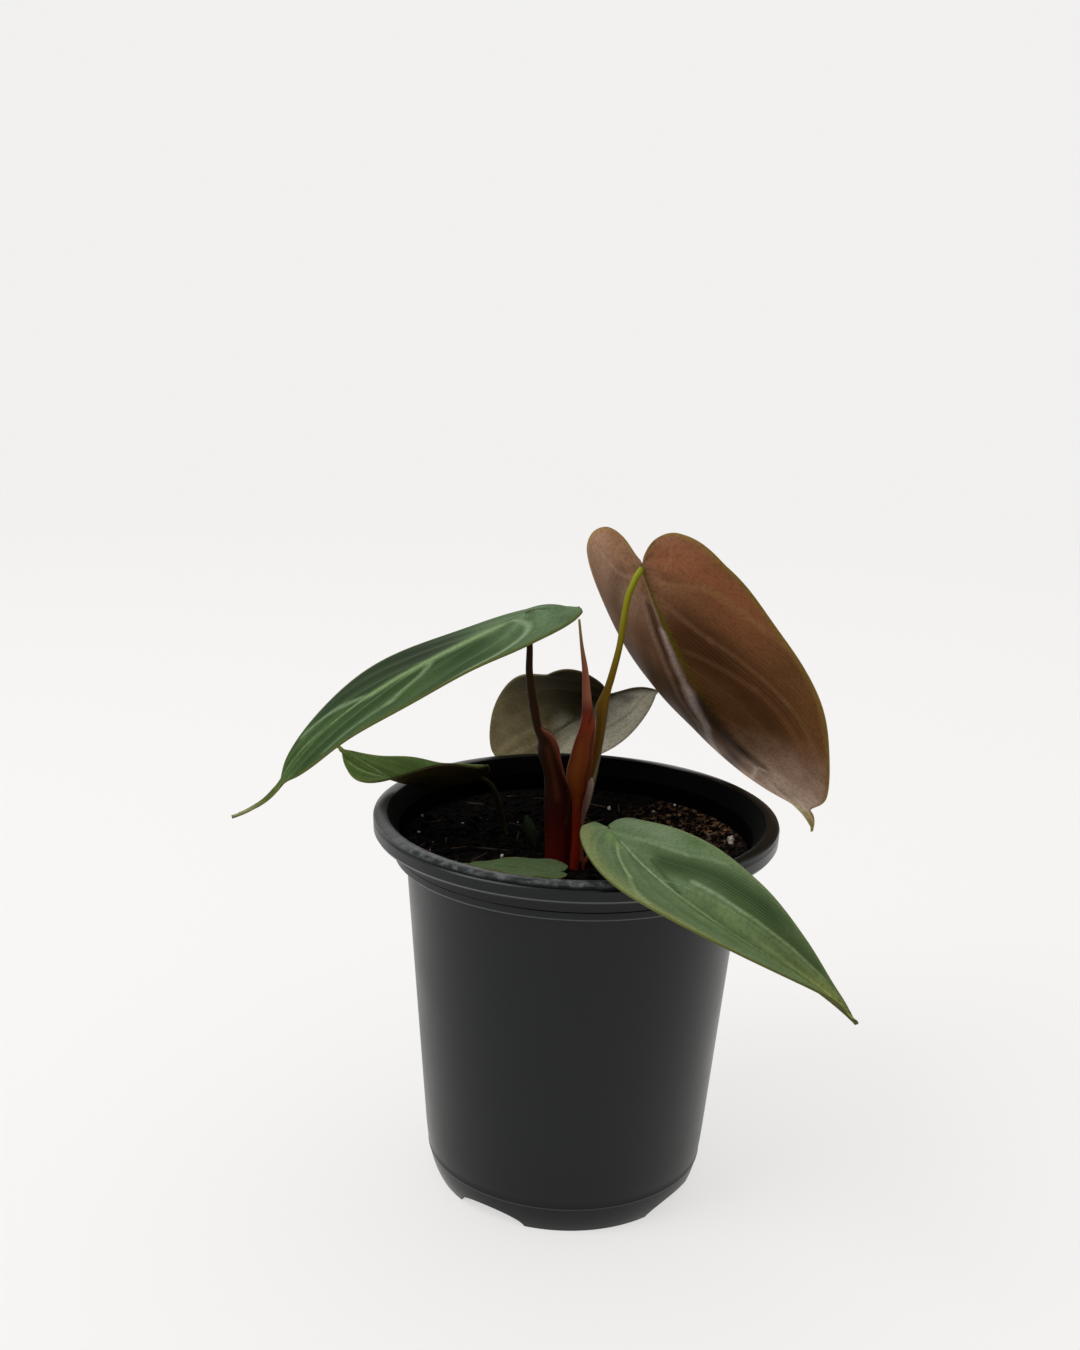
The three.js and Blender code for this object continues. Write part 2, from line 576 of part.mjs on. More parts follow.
function makeSoil() {
  const bottom = FLOOR_TOP + CLEARANCE;
  const sideHeights = [bottom, 9, 14, BASE_CURVE_HEIGHT, COLLAR_BOTTOM];
  const profile = [
    [0, bottom],
    ...sideHeights.map((height) => [insideRadius(height) - SOIL_CLEARANCE, height]),
    [insideRadius(COLLAR_BOTTOM) - SOIL_CLEARANCE, LEDGE_INNER + CLEARANCE],
    [SOIL_EDGE_RADIUS, LEDGE_OUTER + CLEARANCE + 0.1],
    ...[SOIL_EDGE_RADIUS, 42, 36, 30, 24, 18, 12, 6, 0].map((radius) => [radius, SOIL_EDGE]),
  ];
  const block = turned(profile, POT_SEGMENTS);
  const position = block.attributes.position;
  for (let i = 0; i < position.count; i += 1) {
    if (Math.abs(position.getZ(i) - SOIL_EDGE) < 1e-3) {
      position.setZ(i, soilRelief(position.getX(i), position.getY(i)));
    }
  }
  const wellRadius = CROWN_RADIUS + SOIL_CLEARANCE;
  const well = new THREE.CylinderGeometry(wellRadius, wellRadius, 12, 20)
    .rotateX(Math.PI / 2)
    .translate(CROWN.x, CROWN.y, CROWN.z + 5);
  let soil = toSolid(block).subtract(crownSolid(SOIL_CLEARANCE)).subtract(toSolid(well));
  for (const name of Object.keys(STALKS)) {
    soil = soil.subtract(toSolid(stalkTube(name, SOIL_CLEARANCE)));
  }
  const sprout = splitPath(ROLLED.leaf_sprout);
  soil = soil.subtract(toSolid(taperedTube(sprout.points, sprout.radii, SOIL_CLEARANCE)));
  addMesh('soil', toGeometry(soil), COLOURS.soil, 0.95);
}

makePot();
makeSoil();
addMesh('crown', toGeometry(crownSolid()), COLOURS.root, 0.8);
makeLeaves();

const whole = new THREE.Box3().setFromObject(plant);
plant.position.set(-(whole.min.x + whole.max.x) / 2, -(whole.min.y + whole.max.y) / 2, 0);

export default plant;
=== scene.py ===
import math
import random

import bpy
import numpy as np
from mathutils import Matrix, Vector, noise


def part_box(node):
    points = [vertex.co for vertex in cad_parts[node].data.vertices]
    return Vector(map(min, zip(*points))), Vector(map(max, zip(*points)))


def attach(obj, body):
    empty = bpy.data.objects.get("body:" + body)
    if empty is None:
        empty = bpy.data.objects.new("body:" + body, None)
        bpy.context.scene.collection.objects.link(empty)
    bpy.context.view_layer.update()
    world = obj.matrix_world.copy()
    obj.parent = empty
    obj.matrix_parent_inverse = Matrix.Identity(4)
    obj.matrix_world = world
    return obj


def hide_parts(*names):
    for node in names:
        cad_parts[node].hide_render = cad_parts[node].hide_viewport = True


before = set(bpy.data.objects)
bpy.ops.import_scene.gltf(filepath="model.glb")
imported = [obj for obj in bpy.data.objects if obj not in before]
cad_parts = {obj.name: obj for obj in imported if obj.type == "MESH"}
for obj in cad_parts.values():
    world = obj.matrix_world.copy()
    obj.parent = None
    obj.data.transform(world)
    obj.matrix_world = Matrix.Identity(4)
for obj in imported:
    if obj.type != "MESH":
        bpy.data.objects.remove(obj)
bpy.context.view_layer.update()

# Camera: held level with the leaves, 0.42 m from the plant, looking down 14 degrees with a slight
# tilt of the head. All measures below are millimetres from the point where the pot's own axis
# meets the table, so that point is found first.
pot_low, pot_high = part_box("pot")
AXIS_X = (pot_low[0] + pot_high[0]) / 2
AXIS_Y = (pot_low[1] + pot_high[1]) / 2
MM = 0.001
CAMERA_PLACE = (-10.8, -407.5, 241.2)
CAMERA_DOWN = 14.0
CAMERA_ROLL = 1.94
CAMERA_LENS = 43.2


def to_frame(points):
    """Millimetres round the pot's axis to metres in the frame."""
    return np.asarray(points, float) * MM + np.array([AXIS_X, AXIS_Y, 0.0])


camera_data = bpy.data.cameras.new("camera")
camera_data.lens = CAMERA_LENS
camera_data.sensor_width = 36
camera_data.clip_start = 0.01
camera = bpy.data.objects.new("camera", camera_data)
bpy.context.scene.collection.objects.link(camera)
camera.matrix_world = (
    Matrix.Translation(to_frame(CAMERA_PLACE))
    @ Matrix.Rotation(math.radians(90 - CAMERA_DOWN), 4, "X")
    @ Matrix.Rotation(math.radians(CAMERA_ROLL), 4, "Z")
)
bpy.context.scene.camera = camera
bpy.context.scene.view_settings.view_transform = "Standard"


# Pot: one injection-moulded shell of dark recycled plastic. A disc is drawn up ring by ring into
# floor, wall, collar, turned-down rim and inner ledge; the arches between the four feet and the
# drain holes are cut out of it.
POT_HEIGHT = 103.0
RIM_RADIUS = 53.5
COLLAR_RADIUS = 47.9
COLLAR_BOTTOM = 91.6
WALL_TOP_RADIUS = 44.8
WALL_SLOPE = 0.0856
BASE_CURVE_HEIGHT = 23.0
BASE_CURVE_INSET = 2.3
POT_WALL = 1.2
FLOOR_UNDERSIDE = 4.4
FLOOR_TOP = 5.6
POT_SIDES = 144
FOOT_GAP_HALF_WIDTH = 10.2
FOOT_GAP_HEIGHT = 3.9
FIRST_FOOT_GAP = -124.0
DRAIN_RADIUS = 4.0
DRAIN_CIRCLE = 25.0
FOOT_CIRCLE = 34.0
FOOT_RIDGE = 7.8
RIDGE_STEP = 0.15
COLLAR_LINES = (91.7, 98.4)
WORN_SIDE = (-0.42, -0.91, 0)


def wall_radius(height):
    tuck = max(0.0, (BASE_CURVE_HEIGHT - height) / BASE_CURVE_HEIGHT)
    return WALL_TOP_RADIUS - (COLLAR_BOTTOM - height) * WALL_SLOPE - BASE_CURVE_INSET * tuck**5


def only(piece):
    """Makes one object the active and the only selected one."""
    bpy.ops.object.select_all(action="DESELECT")
    piece.select_set(True)
    bpy.context.view_layer.objects.active = piece


def settle(piece):
    """Puts the object's place, turn and size into its mesh."""
    only(piece)
    bpy.ops.object.transform_apply(location=True, rotation=True, scale=True)


def apply_modifiers(piece):
    only(piece)
    for modifier in list(piece.modifiers):
        bpy.ops.object.modifier_apply(modifier=modifier.name)


def draw_up(name, rings, sides):
    """A disc extruded through rings of radius and height. The last ring is its other end."""
    radius, height = rings[0]
    bpy.ops.mesh.primitive_circle_add(
        vertices=sides, radius=radius * MM, fill_type="NGON", location=to_frame((0, 0, height)))
    piece = bpy.context.object
    piece.name = name
    settle(piece)
    bpy.ops.object.mode_set(mode="EDIT")
    bpy.ops.mesh.select_all(action="SELECT")
    for next_radius, next_height in rings[1:]:
        rise = (next_height - height) * MM
        bpy.ops.mesh.extrude_region_move(TRANSFORM_OT_translate={"value": (0, 0, rise)})
        grow = next_radius / radius
        bpy.ops.transform.resize(
            value=(grow, grow, 1), center_override=to_frame((0, 0, next_height)))
        radius, height = next_radius, next_height
    bpy.ops.mesh.select_all(action="SELECT")
    bpy.ops.mesh.normals_make_consistent(inside=False)
    bpy.ops.object.mode_set(mode="OBJECT")
    return piece


outside = [(wall_radius(h), h) for h in (0.0, 1.2, 2.5, 4.0, 5.5, 7.0, 7.4)]
outside += [(wall_radius(h) + RIDGE_STEP, h) for h in (7.6, 8.0)]
outside += [(wall_radius(h), h) for h in (8.3, 10, 12, 14, 16, 18, 20.5, 23, 45, 68, 90.8)]
rim = [
    (47.5, 91.3), (47.9, 91.7), (47.95, 93.4), (48.15, 93.6), (48.0, 93.8), (48.1, 98.4),
    (48.6, 100.4), (51.6, 100.4), (51.8, 98.2), (52.1, 97.8), (52.9, 97.9), (53.35, 98.6),
    (53.45, 101.1), (53.15, 101.5), (RIM_RADIUS, 101.9), (53.3, 102.5), (52.6, 102.9),
    (51.6, POT_HEIGHT), (50.6, 102.95), (49.9, 102.75), (49.4, 102.3), (47.2, 99.2),
    (46.75, 98.6), (46.6, 93.3), (46.2, 93.0), (43.9, 92.4),
]
inside = [(wall_radius(h) - POT_WALL, h) for h in (90.8, 68, 45, 23, 18, 14, 11, 8.5, FLOOR_TOP)]
floor_rings = [(33.1, FLOOR_UNDERSIDE), (33.2, 0.0)]
pot = draw_up("pot_shell", floor_rings + outside + rim + inside, POT_SIDES)

for foot in range(4):
    turn = math.radians(FIRST_FOOT_GAP + 90 * foot)
    bpy.ops.mesh.primitive_cylinder_add(
        vertices=48, radius=1, depth=14 * MM,
        location=to_frame((FOOT_CIRCLE * math.cos(turn), FOOT_CIRCLE * math.sin(turn), 0)),
        rotation=(0, math.pi / 2, turn))
    arch = bpy.context.object
    arch.scale = (FOOT_GAP_HEIGHT * MM, FOOT_GAP_HALF_WIDTH * MM, 1)
    settle(arch)
    drain_place = (DRAIN_CIRCLE * math.cos(turn), DRAIN_CIRCLE * math.sin(turn), 5)
    bpy.ops.mesh.primitive_cylinder_add(
        vertices=32, radius=DRAIN_RADIUS * MM, depth=6 * MM, location=to_frame(drain_place))
    drain = bpy.context.object
    settle(drain)
    for cutter in (arch, drain):
        cut = pot.modifiers.new("cut", "BOOLEAN")
        cut.operation = "DIFFERENCE"
        cut.solver = "EXACT"
        cut.object = cutter
        apply_modifiers(pot)
        bpy.data.objects.remove(cutter)
only(pot)
bpy.ops.object.shade_smooth_by_angle(angle=math.radians(28))


def new_material(name):
    """A material, its node tree, and the place and the UV that its patterns read."""
    material = bpy.data.materials.new(name)
    material.use_nodes = True
    coordinates = material.node_tree.nodes.new("ShaderNodeTexCoord").outputs
    return material, material.node_tree, coordinates["Object"], coordinates["UV"]


def node(tree, kind, inputs=(), **settings):
    """A shader node. inputs gives each socket a value, or an output to link to it."""
    made = tree.nodes.new("ShaderNode" + kind)
    for key, value in settings.items():
        setattr(made, key, value)
    for socket, value in dict(inputs).items():
        if isinstance(value, bpy.types.NodeSocket):
            tree.links.new(value, made.inputs[socket])
        else:
            made.inputs[socket].default_value = value
    return made


def math_node(tree, operation, first, second=0.0, third=0.0, clamp=False):
    made = node(tree, "Math", {0: first, 1: second, 2: third}, operation=operation)
    made.use_clamp = clamp
    return made.outputs[0]


def times(tree, first, second):
    return math_node(tree, "MULTIPLY", first, second)


def vector_node(tree, operation, first, second=(0, 0, 0), scale=1.0, output="Vector"):
    made = node(tree, "VectorMath", {0: first, 1: second, 3: scale}, operation=operation)
    return made.outputs[output]


def smooth_step(tree, value, low, high, start=0.0, end=1.0):
    made = node(tree, "MapRange", {"Value": value, "From Min": low, "From Max": high,
                                   "To Min": start, "To Max": end})
    made.interpolation_type = "SMOOTHSTEP"
    return made.outputs["Result"]


def cloud(tree, place, scale, detail, roughness=0.5):
    """Random patches, from about 0.2 to 0.8."""
    return node(tree, "TexNoise", {"Vector": place, "Scale": scale, "Detail": detail,
                                   "Roughness": roughness}).outputs["Fac"]


def colour(red, green, blue):
    """A colour as seen on screen, 0 to 255, as the shader's linear values."""
    parts = [part / 255 for part in (red, green, blue)]
    linear = [p / 12.92 if p <= 0.04045 else ((p + 0.055) / 1.055) ** 2.4 for p in parts]
    return (*linear, 1.0)


def blend(tree, share, first, second):
    """Mixes two colours. Each is an output or a colour as seen on screen."""
    tints = [tint if isinstance(tint, bpy.types.NodeSocket) else colour(*tint)
             for tint in (first, second)]
    return node(tree, "Mix", {0: share, 6: tints[0], 7: tints[1]}, data_type="RGBA").outputs[2]


def colour_ramp(tree, value, stops):
    """Colours at places of the value, blended smoothly from one to the next."""
    ramp = node(tree, "ValToRGB", {"Fac": value})
    elements = ramp.color_ramp.elements
    for element, (place, tint) in zip(elements, (stops[0], stops[-1])):
        element.position = place
        element.color = colour(*tint)
    for place, tint in stops[1:-1]:
        elements.new(place).color = colour(*tint)
    return ramp.outputs["Color"]


def link(tree, name, value):
    """Links an output to one of the shader's own sockets."""
    tree.links.new(value, tree.nodes["Principled BSDF"].inputs[name])


def set_values(tree, values):
    """Sets the shader's own sockets to plain values."""
    for name, value in values.items():
        tree.nodes["Principled BSDF"].inputs[name].default_value = value


def bump(tree, height, strength, distance):
    made = node(tree, "Bump", {"Height": height, "Strength": strength, "Distance": distance})
    link(tree, "Normal", made.outputs[0])


def new_group(name, inputs, outputs):
    """A node group with the sockets named, its group input's sockets and its group output."""
    group = bpy.data.node_groups.new(name, "ShaderNodeTree")
    for way, sockets in (("INPUT", inputs), ("OUTPUT", outputs)):
        for label, kind in sockets.items():
            group.interface.new_socket(
                name=label, in_out=way, socket_type="NodeSocket" + kind)
    return group, group.nodes.new("NodeGroupInput").outputs, group.nodes.new("NodeGroupOutput")


def make_speckle_group():
    """Sparse small specks: dust on plastic and pale grains in soil. Puts out a mask."""
    group, given, final = new_group(
        "speckle", {"Scale": "Float", "Size": "Float", "Share": "Float"}, {"Mask": "Float"})
    place = node(group, "TexCoord").outputs["Object"]
    cells = node(group, "TexVoronoi", {"Vector": place, "Scale": given["Scale"]})
    near = math_node(group, "LESS_THAN", cells.outputs["Distance"], given["Size"])
    lot = node(group, "SeparateColor", {"Color": cells.outputs["Color"]})
    chosen = math_node(group, "LESS_THAN", lot.outputs[0], given["Share"])
    group.links.new(times(group, near, chosen), final.inputs["Mask"])
    return group


speckle_group = make_speckle_group()


def speckle(tree, scale, size, share):
    return node(tree, "Group", {"Scale": scale, "Size": size, "Share": share},
                node_tree=speckle_group).outputs["Mask"]


plastic, tree, place, _ = new_material("pot_plastic")
height = node(tree, "SeparateXYZ", {0: place}).outputs[2]
from_axis = vector_node(tree, "SUBTRACT", place, (AXIS_X, AXIS_Y, 0))
to_left_front = vector_node(tree, "DOT_PRODUCT", from_axis, WORN_SIDE, output="Value")
worn_side = smooth_step(tree, to_left_front, 0.028, 0.046)
blotches = cloud(tree, place, 30.0, 4.0)
body_colour = blend(tree, blotches, (10, 16, 15), (14, 20, 19))
near_foot = smooth_step(tree, height, 0.004, 0.03, 0.8, 0.0)
body_colour = blend(tree, near_foot, body_colour, (4, 6, 6))
rim_share = smooth_step(tree, height, 0.1018, 0.1029)
scuffs = smooth_step(tree, cloud(tree, place, 420.0, 6.0, 0.7), 0.4, 0.68, 0.08, 0.6)
scuffs = times(tree, times(tree, scuffs, rim_share), worn_side)


def edge_highlight_line(level):
    """A painted highlight along a thin edge round the pot at one height in millimetres."""
    away = math_node(tree, "ABSOLUTE", math_node(tree, "SUBTRACT", height, level * MM))
    return smooth_step(tree, away, 0.0, 0.0003, 0.45, 0.0)


# Painted highlights: pale lines along the collar and foot edges, stronger on the side towards the
# lamp.
edge_highlights = math_node(tree, "ADD", edge_highlight_line(COLLAR_LINES[0]), edge_highlight_line(COLLAR_LINES[1]))
edge_highlights = times(tree, edge_highlights, smooth_step(tree, to_left_front, -0.02, 0.03, 0.2, 1.0))
edge_highlights = math_node(tree, "MULTIPLY_ADD", edge_highlight_line(FOOT_RIDGE), 0.35, edge_highlights)
dust = times(tree, speckle(tree, 260.0, 0.055, 0.04), 0.2)
# Real scuffs and dust, together with the painted edge highlights.
scuffs_dust_and_highlights = math_node(tree, "MAXIMUM", scuffs, math_node(tree, "MAXIMUM", edge_highlights, dust))
link(tree, "Base Color", blend(tree, scuffs_dust_and_highlights, body_colour, (128, 134, 134)))
rough = smooth_step(tree, blotches, 0.3, 0.7, 0.28, 0.36)
link(tree, "Roughness", math_node(tree, "MULTIPLY_ADD", scuffs, 0.3, rough))
bump(tree, cloud(tree, place, 1500.0, 2.0), 0.12, 0.00008)
set_values(tree, {"Specular IOR Level": 0.27})
pot.data.materials.append(plastic)

# Painted shade: the inner walls and ledge get a near-black, duller copy of the same plastic for the
# shade inside the pot.
shaded_inside, tree, _, _ = new_material("pot_inside_painted_shade")
set_values(tree, {"Base Color": colour(2, 2, 2), "Roughness": 0.6, "Specular IOR Level": 0.03})
pot.data.materials.append(shaded_inside)
for face in pot.data.polygons:
    out = Vector((face.center.x - AXIS_X, face.center.y - AXIS_Y, 0))
    faces_in = out.normalized().dot(face.normal) < -0.3
    on_ledge = face.normal.z > 0.5 and out.length < COLLAR_RADIUS * MM
    if face.center.z > FLOOR_TOP * MM and (faces_in or on_ledge):
        face.material_index = 1
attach(pot, "root")
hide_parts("pot")


# Soil: dark peat and coir, pressed down lower in the middle. The bed is one closed plug with a
# crumbly top. Loose crumbs, fibres and white perlite grains lie on it as pieces of their own.
SOIL_MIDDLE = 90.4
SOIL_EDGE = 94.0
SOIL_EDGE_RADIUS = 46.2
SOIL_LUMPS = 0.45
SOIL_BOTTOM = 5.9
SOIL_AROUND = 220
SOIL_ACROSS = 120
SOIL_GAP = 1.6
# Middle of a patch of bark that is also painted lighter where light falls on the soil.
LIT_BARK_PATCH = (34, 20, 92)
STALKS_AT = (-3.2, -6.2)
STALKS_CLEARANCE = 7.5
CRUMB_COUNT = 1100
BARK_COUNT = 160
GRAIN_COUNT = 26
FIBRE_COUNT = 80
random.seed(7)


def soil_height(x, y):
    distance = math.hypot(x, y) / SOIL_EDGE_RADIUS
    dish = SOIL_MIDDLE + (SOIL_EDGE - SOIL_MIDDLE) * distance**3
    lumps = math.sin(0.42 * x + 1.3) * math.cos(0.37 * y) + math.sin(0.71 * y + 0.29 * x + 0.6)
    return dish + SOIL_LUMPS * lumps * (1 - distance**6)


def crumb_relief(x, y):
    distance = math.hypot(x, y) / SOIL_EDGE_RADIUS
    coarse = noise.noise(Vector((x * 0.28, y * 0.28, 3.0)))
    middle = noise.noise(Vector((x * 0.7, y * 0.7, 9.0)))
    small = noise.noise(Vector((x * 1.7, y * 1.7, 5.0)))
    return (0.9 * coarse + 0.8 * middle + 0.45 * small) * (1 - distance**10)


def grid_piece(name, across, along, place_vertex):
    """A flat grid rolled or bent to shape: place_vertex gives each point from its two shares."""
    bpy.ops.mesh.primitive_grid_add(x_subdivisions=across, y_subdivisions=along, size=2)
    piece = bpy.context.object
    piece.name = name
    settle(piece)
    flat = np.empty(len(piece.data.vertices) * 3)
    piece.data.vertices.foreach_get("co", flat)
    shares = flat.reshape(-1, 3)[:, :2] * 0.5 + 0.5
    piece.data.vertices.foreach_set("co", to_frame(place_vertex(shares)).ravel())
    piece.data.update()
    bpy.ops.object.mode_set(mode="EDIT")
    bpy.ops.mesh.select_all(action="SELECT")
    bpy.ops.mesh.remove_doubles(threshold=2e-6)
    bpy.ops.mesh.normals_make_consistent(inside=False)
    bpy.ops.object.mode_set(mode="OBJECT")
    bpy.ops.object.shade_smooth()
    return piece


def soil_points(shares):
    side = [(SOIL_EDGE_RADIUS, 93.6), (43.4, 92.8), (43.3, 88.0)]
    side += [(wall_radius(h) - SOIL_GAP, h) for h in (50.0, 14.0, SOIL_BOTTOM)]
    side.append((0.0, SOIL_BOTTOM))
    top_rows = SOIL_ACROSS - len(side)
    points = []
    for around, across in shares:
        row = round(across * SOIL_ACROSS)
        angle = 2 * math.pi * around
        if row <= top_rows:
            radius = SOIL_EDGE_RADIUS * (row / top_rows) ** 0.8
            x = radius * math.cos(angle)
            y = radius * math.sin(angle)
            z = soil_height(x, y) + crumb_relief(x, y)
            points.append((x, y, max(z, SOIL_EDGE) if row == top_rows else z))
        else:
            radius, z = side[row - top_rows - 1]
            points.append((radius * math.cos(angle), radius * math.sin(angle), z))
    return points


soil = grid_piece("soil_bed", SOIL_AROUND, SOIL_ACROSS, soil_points)

peat, tree, place, _ = new_material("peat")
clods = cloud(tree, place, 260.0, 5.0)
grains = node(tree, "TexVoronoi", {"Vector": place, "Scale": 900.0})
grain_share = smooth_step(tree, grains.outputs["Distance"], 0.05, 0.7)
shade = smooth_step(tree, clods, 0.35, 0.7)
flake_share = smooth_step(tree, cloud(tree, place, 620.0, 4.0), 0.47, 0.64)
# A patch at the right of the soil painted lighter brown: partly bark chips, partly painted light
# where light falls on the soil.
from_lit_bark = vector_node(tree, "DISTANCE", place, to_frame(LIT_BARK_PATCH), output="Value")
lit_bark_share = smooth_step(tree, from_lit_bark, 0.008, 0.026, 1.0, 0.0)
peat_tint = blend(tree, shade, (4, 3, 3), (22, 16, 12))
lit_bark_tint = blend(tree, flake_share, (16, 10, 7), (150, 114, 84))
ground = blend(tree, lit_bark_share, peat_tint, lit_bark_tint)
ground = blend(tree, times(tree, grain_share, 0.5), ground, (6, 4, 3))
link(tree, "Base Color", blend(tree, speckle(tree, 620.0, 0.13, 0.003), ground, (190, 180, 165)))
set_values(tree, {"Roughness": 0.92, "Specular IOR Level": 0.1})
bump(tree, math_node(tree, "ADD", clods, grain_share), 0.9, 0.0006)
soil.data.materials.append(peat)
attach(soil, "root")
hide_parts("soil")


def scattered(name, pattern, places):
    """Copies of one small shape, each at its own place, turn and size, as one mesh."""
    count = len(pattern.data.vertices)
    shape = np.array([tuple(v.co) for v in pattern.data.vertices])
    faces = [tuple(f.vertices) for f in pattern.data.polygons]
    points = []
    corners = []
    for number, (x, y, z, size) in enumerate(places):
        turn = np.array(Matrix.Rotation(random.uniform(0, 6.28), 3, "Z")
                        @ Matrix.Rotation(random.uniform(-0.7, 0.7), 3, "X"))
        stretch = np.array(size) * [random.uniform(0.7, 1.3) for _ in range(3)]
        jitter = 1 + 0.18 * np.sin(shape @ np.array([3.1, 4.7, 2.3]) + 5 * number)[:, None]
        points.append(to_frame((shape * jitter * stretch) @ turn.T + np.array([x, y, z])))
        corners += [tuple(v + number * count for v in face) for face in faces]
    mesh = bpy.data.meshes.new(name)
    mesh.from_pydata(np.vstack(points).tolist(), [], corners)
    piece = bpy.data.objects.new(name, mesh)
    bpy.context.scene.collection.objects.link(piece)
    bpy.data.objects.remove(pattern)
    only(piece)
    bpy.ops.object.shade_smooth()
    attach(piece, "root")
    return piece


def on_soil(limit):
    """A random place on the soil, clear of the stalks."""
    while True:
        radius = limit * math.sqrt(random.random())
        angle = random.uniform(0, 2 * math.pi)
        x = radius * math.cos(angle)
        y = radius * math.sin(angle)
        if math.dist((x, y), STALKS_AT) > STALKS_CLEARANCE:
            return x, y, soil_height(x, y) + crumb_relief(x, y)


bpy.ops.mesh.primitive_ico_sphere_add(subdivisions=2, radius=1)
crumb_places = []
for _ in range(CRUMB_COUNT):
    x, y, z = on_soil(45.2)
    size = 0.35 + 0.9 * random.random() ** 2.5
    crumb_places.append((x, y, z + 0.15 * size, (size, size, 0.75 * size)))
for _ in range(BARK_COUNT):
    x = random.gauss(35, 6)
    y = random.gauss(18, 9)
    if math.hypot(x, y) < 44:
        z = soil_height(x, y) + crumb_relief(x, y)
        size = random.uniform(0.5, 1.3)
        crumb_places.append((x, y, z + 0.4 * size, (size, 0.6 * size, 0.45 * size)))
crumbs = scattered("soil_crumbs", bpy.context.object, crumb_places)
crumbs.data.materials.append(peat)

bpy.ops.mesh.primitive_ico_sphere_add(subdivisions=2, radius=1)
grain_places = []
seen_grains = [(10.4, 34.5, 0.7), (23.0, 31.0, 0.45), (29.0, 33.0, 0.5), (36.8, 12.5, 0.45),
               (42.3, 7.6, 1.1), (42.0, 3.6, 0.6), (-42.0, 16.6, 0.45), (-42.0, 5.0, 0.4),
               (-19.2, -6.0, 0.45), (3.0, 30.0, 0.4)]
for x, y, size in seen_grains:
    grain_places.append((x, y, soil_height(x, y) + crumb_relief(x, y) + 0.5, (size, size, size)))
for _ in range(GRAIN_COUNT):
    x, y, z = on_soil(44.0)
    size = random.uniform(0.12, 0.28)
    grain_places.append((x, y, z + 0.15, (size, size, size)))
perlite = scattered("perlite_grains", bpy.context.object, grain_places)
chalk, tree, place, _ = new_material("perlite")
dirt = cloud(tree, place, 900.0, 3.0)
dirt_share = smooth_step(tree, dirt, 0.4, 0.7)
link(tree, "Base Color", blend(tree, dirt_share, (226, 216, 204), (112, 92, 76)))
set_values(tree, {"Roughness": 0.85})
bump(tree, dirt, 0.6, 0.0002)
perlite.data.materials.append(chalk)

bpy.ops.mesh.primitive_cylinder_add(vertices=6, radius=1, depth=2)
fibre = bpy.context.object
bpy.ops.object.mode_set(mode="EDIT")
bpy.ops.mesh.select_all(action="SELECT")
bpy.ops.transform.rotate(value=math.pi / 2, orient_axis="Y", center_override=(0, 0, 0))
bpy.ops.object.mode_set(mode="OBJECT")
fibre_places = []
for _ in range(FIBRE_COUNT):
    x, y, z = on_soil(42.5)
    reach = random.uniform(1.0, 4.5)
    fibre_places.append((x, y, z + 0.35, (reach, 0.16, 0.16)))
fibres = scattered("coir_fibres", fibre, fibre_places)
coir, tree, place, _ = new_material("coir")
tone = cloud(tree, place, 120.0, 2.0)
link(tree, "Base Color", blend(tree, tone, (24, 15, 9), (96, 66, 42)))
set_values(tree, {"Roughness": 0.8})
fibres.data.materials.append(coir)


# Crown: the short woody stem below the soil, with the main roots. The CAD solid is kept and only
# gets the look of corky root skin.
cork, tree, place, _ = new_material("root_skin")
rings = cloud(tree, place, 500.0, 4.0)
link(tree, "Base Color", blend(tree, rings, (88, 62, 40), (176, 146, 108)))
set_values(tree, {"Roughness": 0.85})
bump(tree, rings, 0.5, 0.0003)
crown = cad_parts["crown"]
crown.data.materials.clear()
crown.data.materials.append(cork)


# Leaf blades: thin velvety hearts. Each starts as a flat grid whose rows fan out from the stalk,
# is bent along its own midrib and folded along it, and gets its thickness from Solidify, which
# also gives top, underside and edge a material each.
HEART_OUTLINE = [
    (0, 0), (0.07, -0.055), (0.24, -0.125), (0.5, -0.145), (0.78, -0.085), (0.96, 0.055),
    (1, 0.22), (0.93, 0.41), (0.74, 0.6), (0.47, 0.77), (0.21, 0.9), (0.07, 0.965), (0.035, 1),
]
WIDEST_AT = 0.22
SHOULDER_AT = 0.9
SHOULDER_REACH = 0.08
FAN_SHARE = 0.12
BLADE_ROWS = 110
BLADE_COLUMNS = 40
BLADE_THICKNESS = 0.55
VEIN_COUNT = 6
VEIN_SPACING = 0.55
VEIN_SWEEP = 2.7
VEIN_CURVE = 1.25
BLADE_STRETCH = 4.0
LOBE_REACH = 0.12
MIDRIB_GROOVE = 0.35
PLAIN_LEAF = dict(
    turn=0, turn_more=0, bend=0, bend_more=0, roll=0, twist=0, twist_more=0,
    fold_left=(0, 0, 0), fold_right=(0, 0, 0), curl_left=0, curl_right=0,
    belly=0, taper=0, blunt=0, lobes=1, drip_tip=0.06, flick=0, back_left=0, back_right=0,
    wave=0.3, quilt=0.35,
)


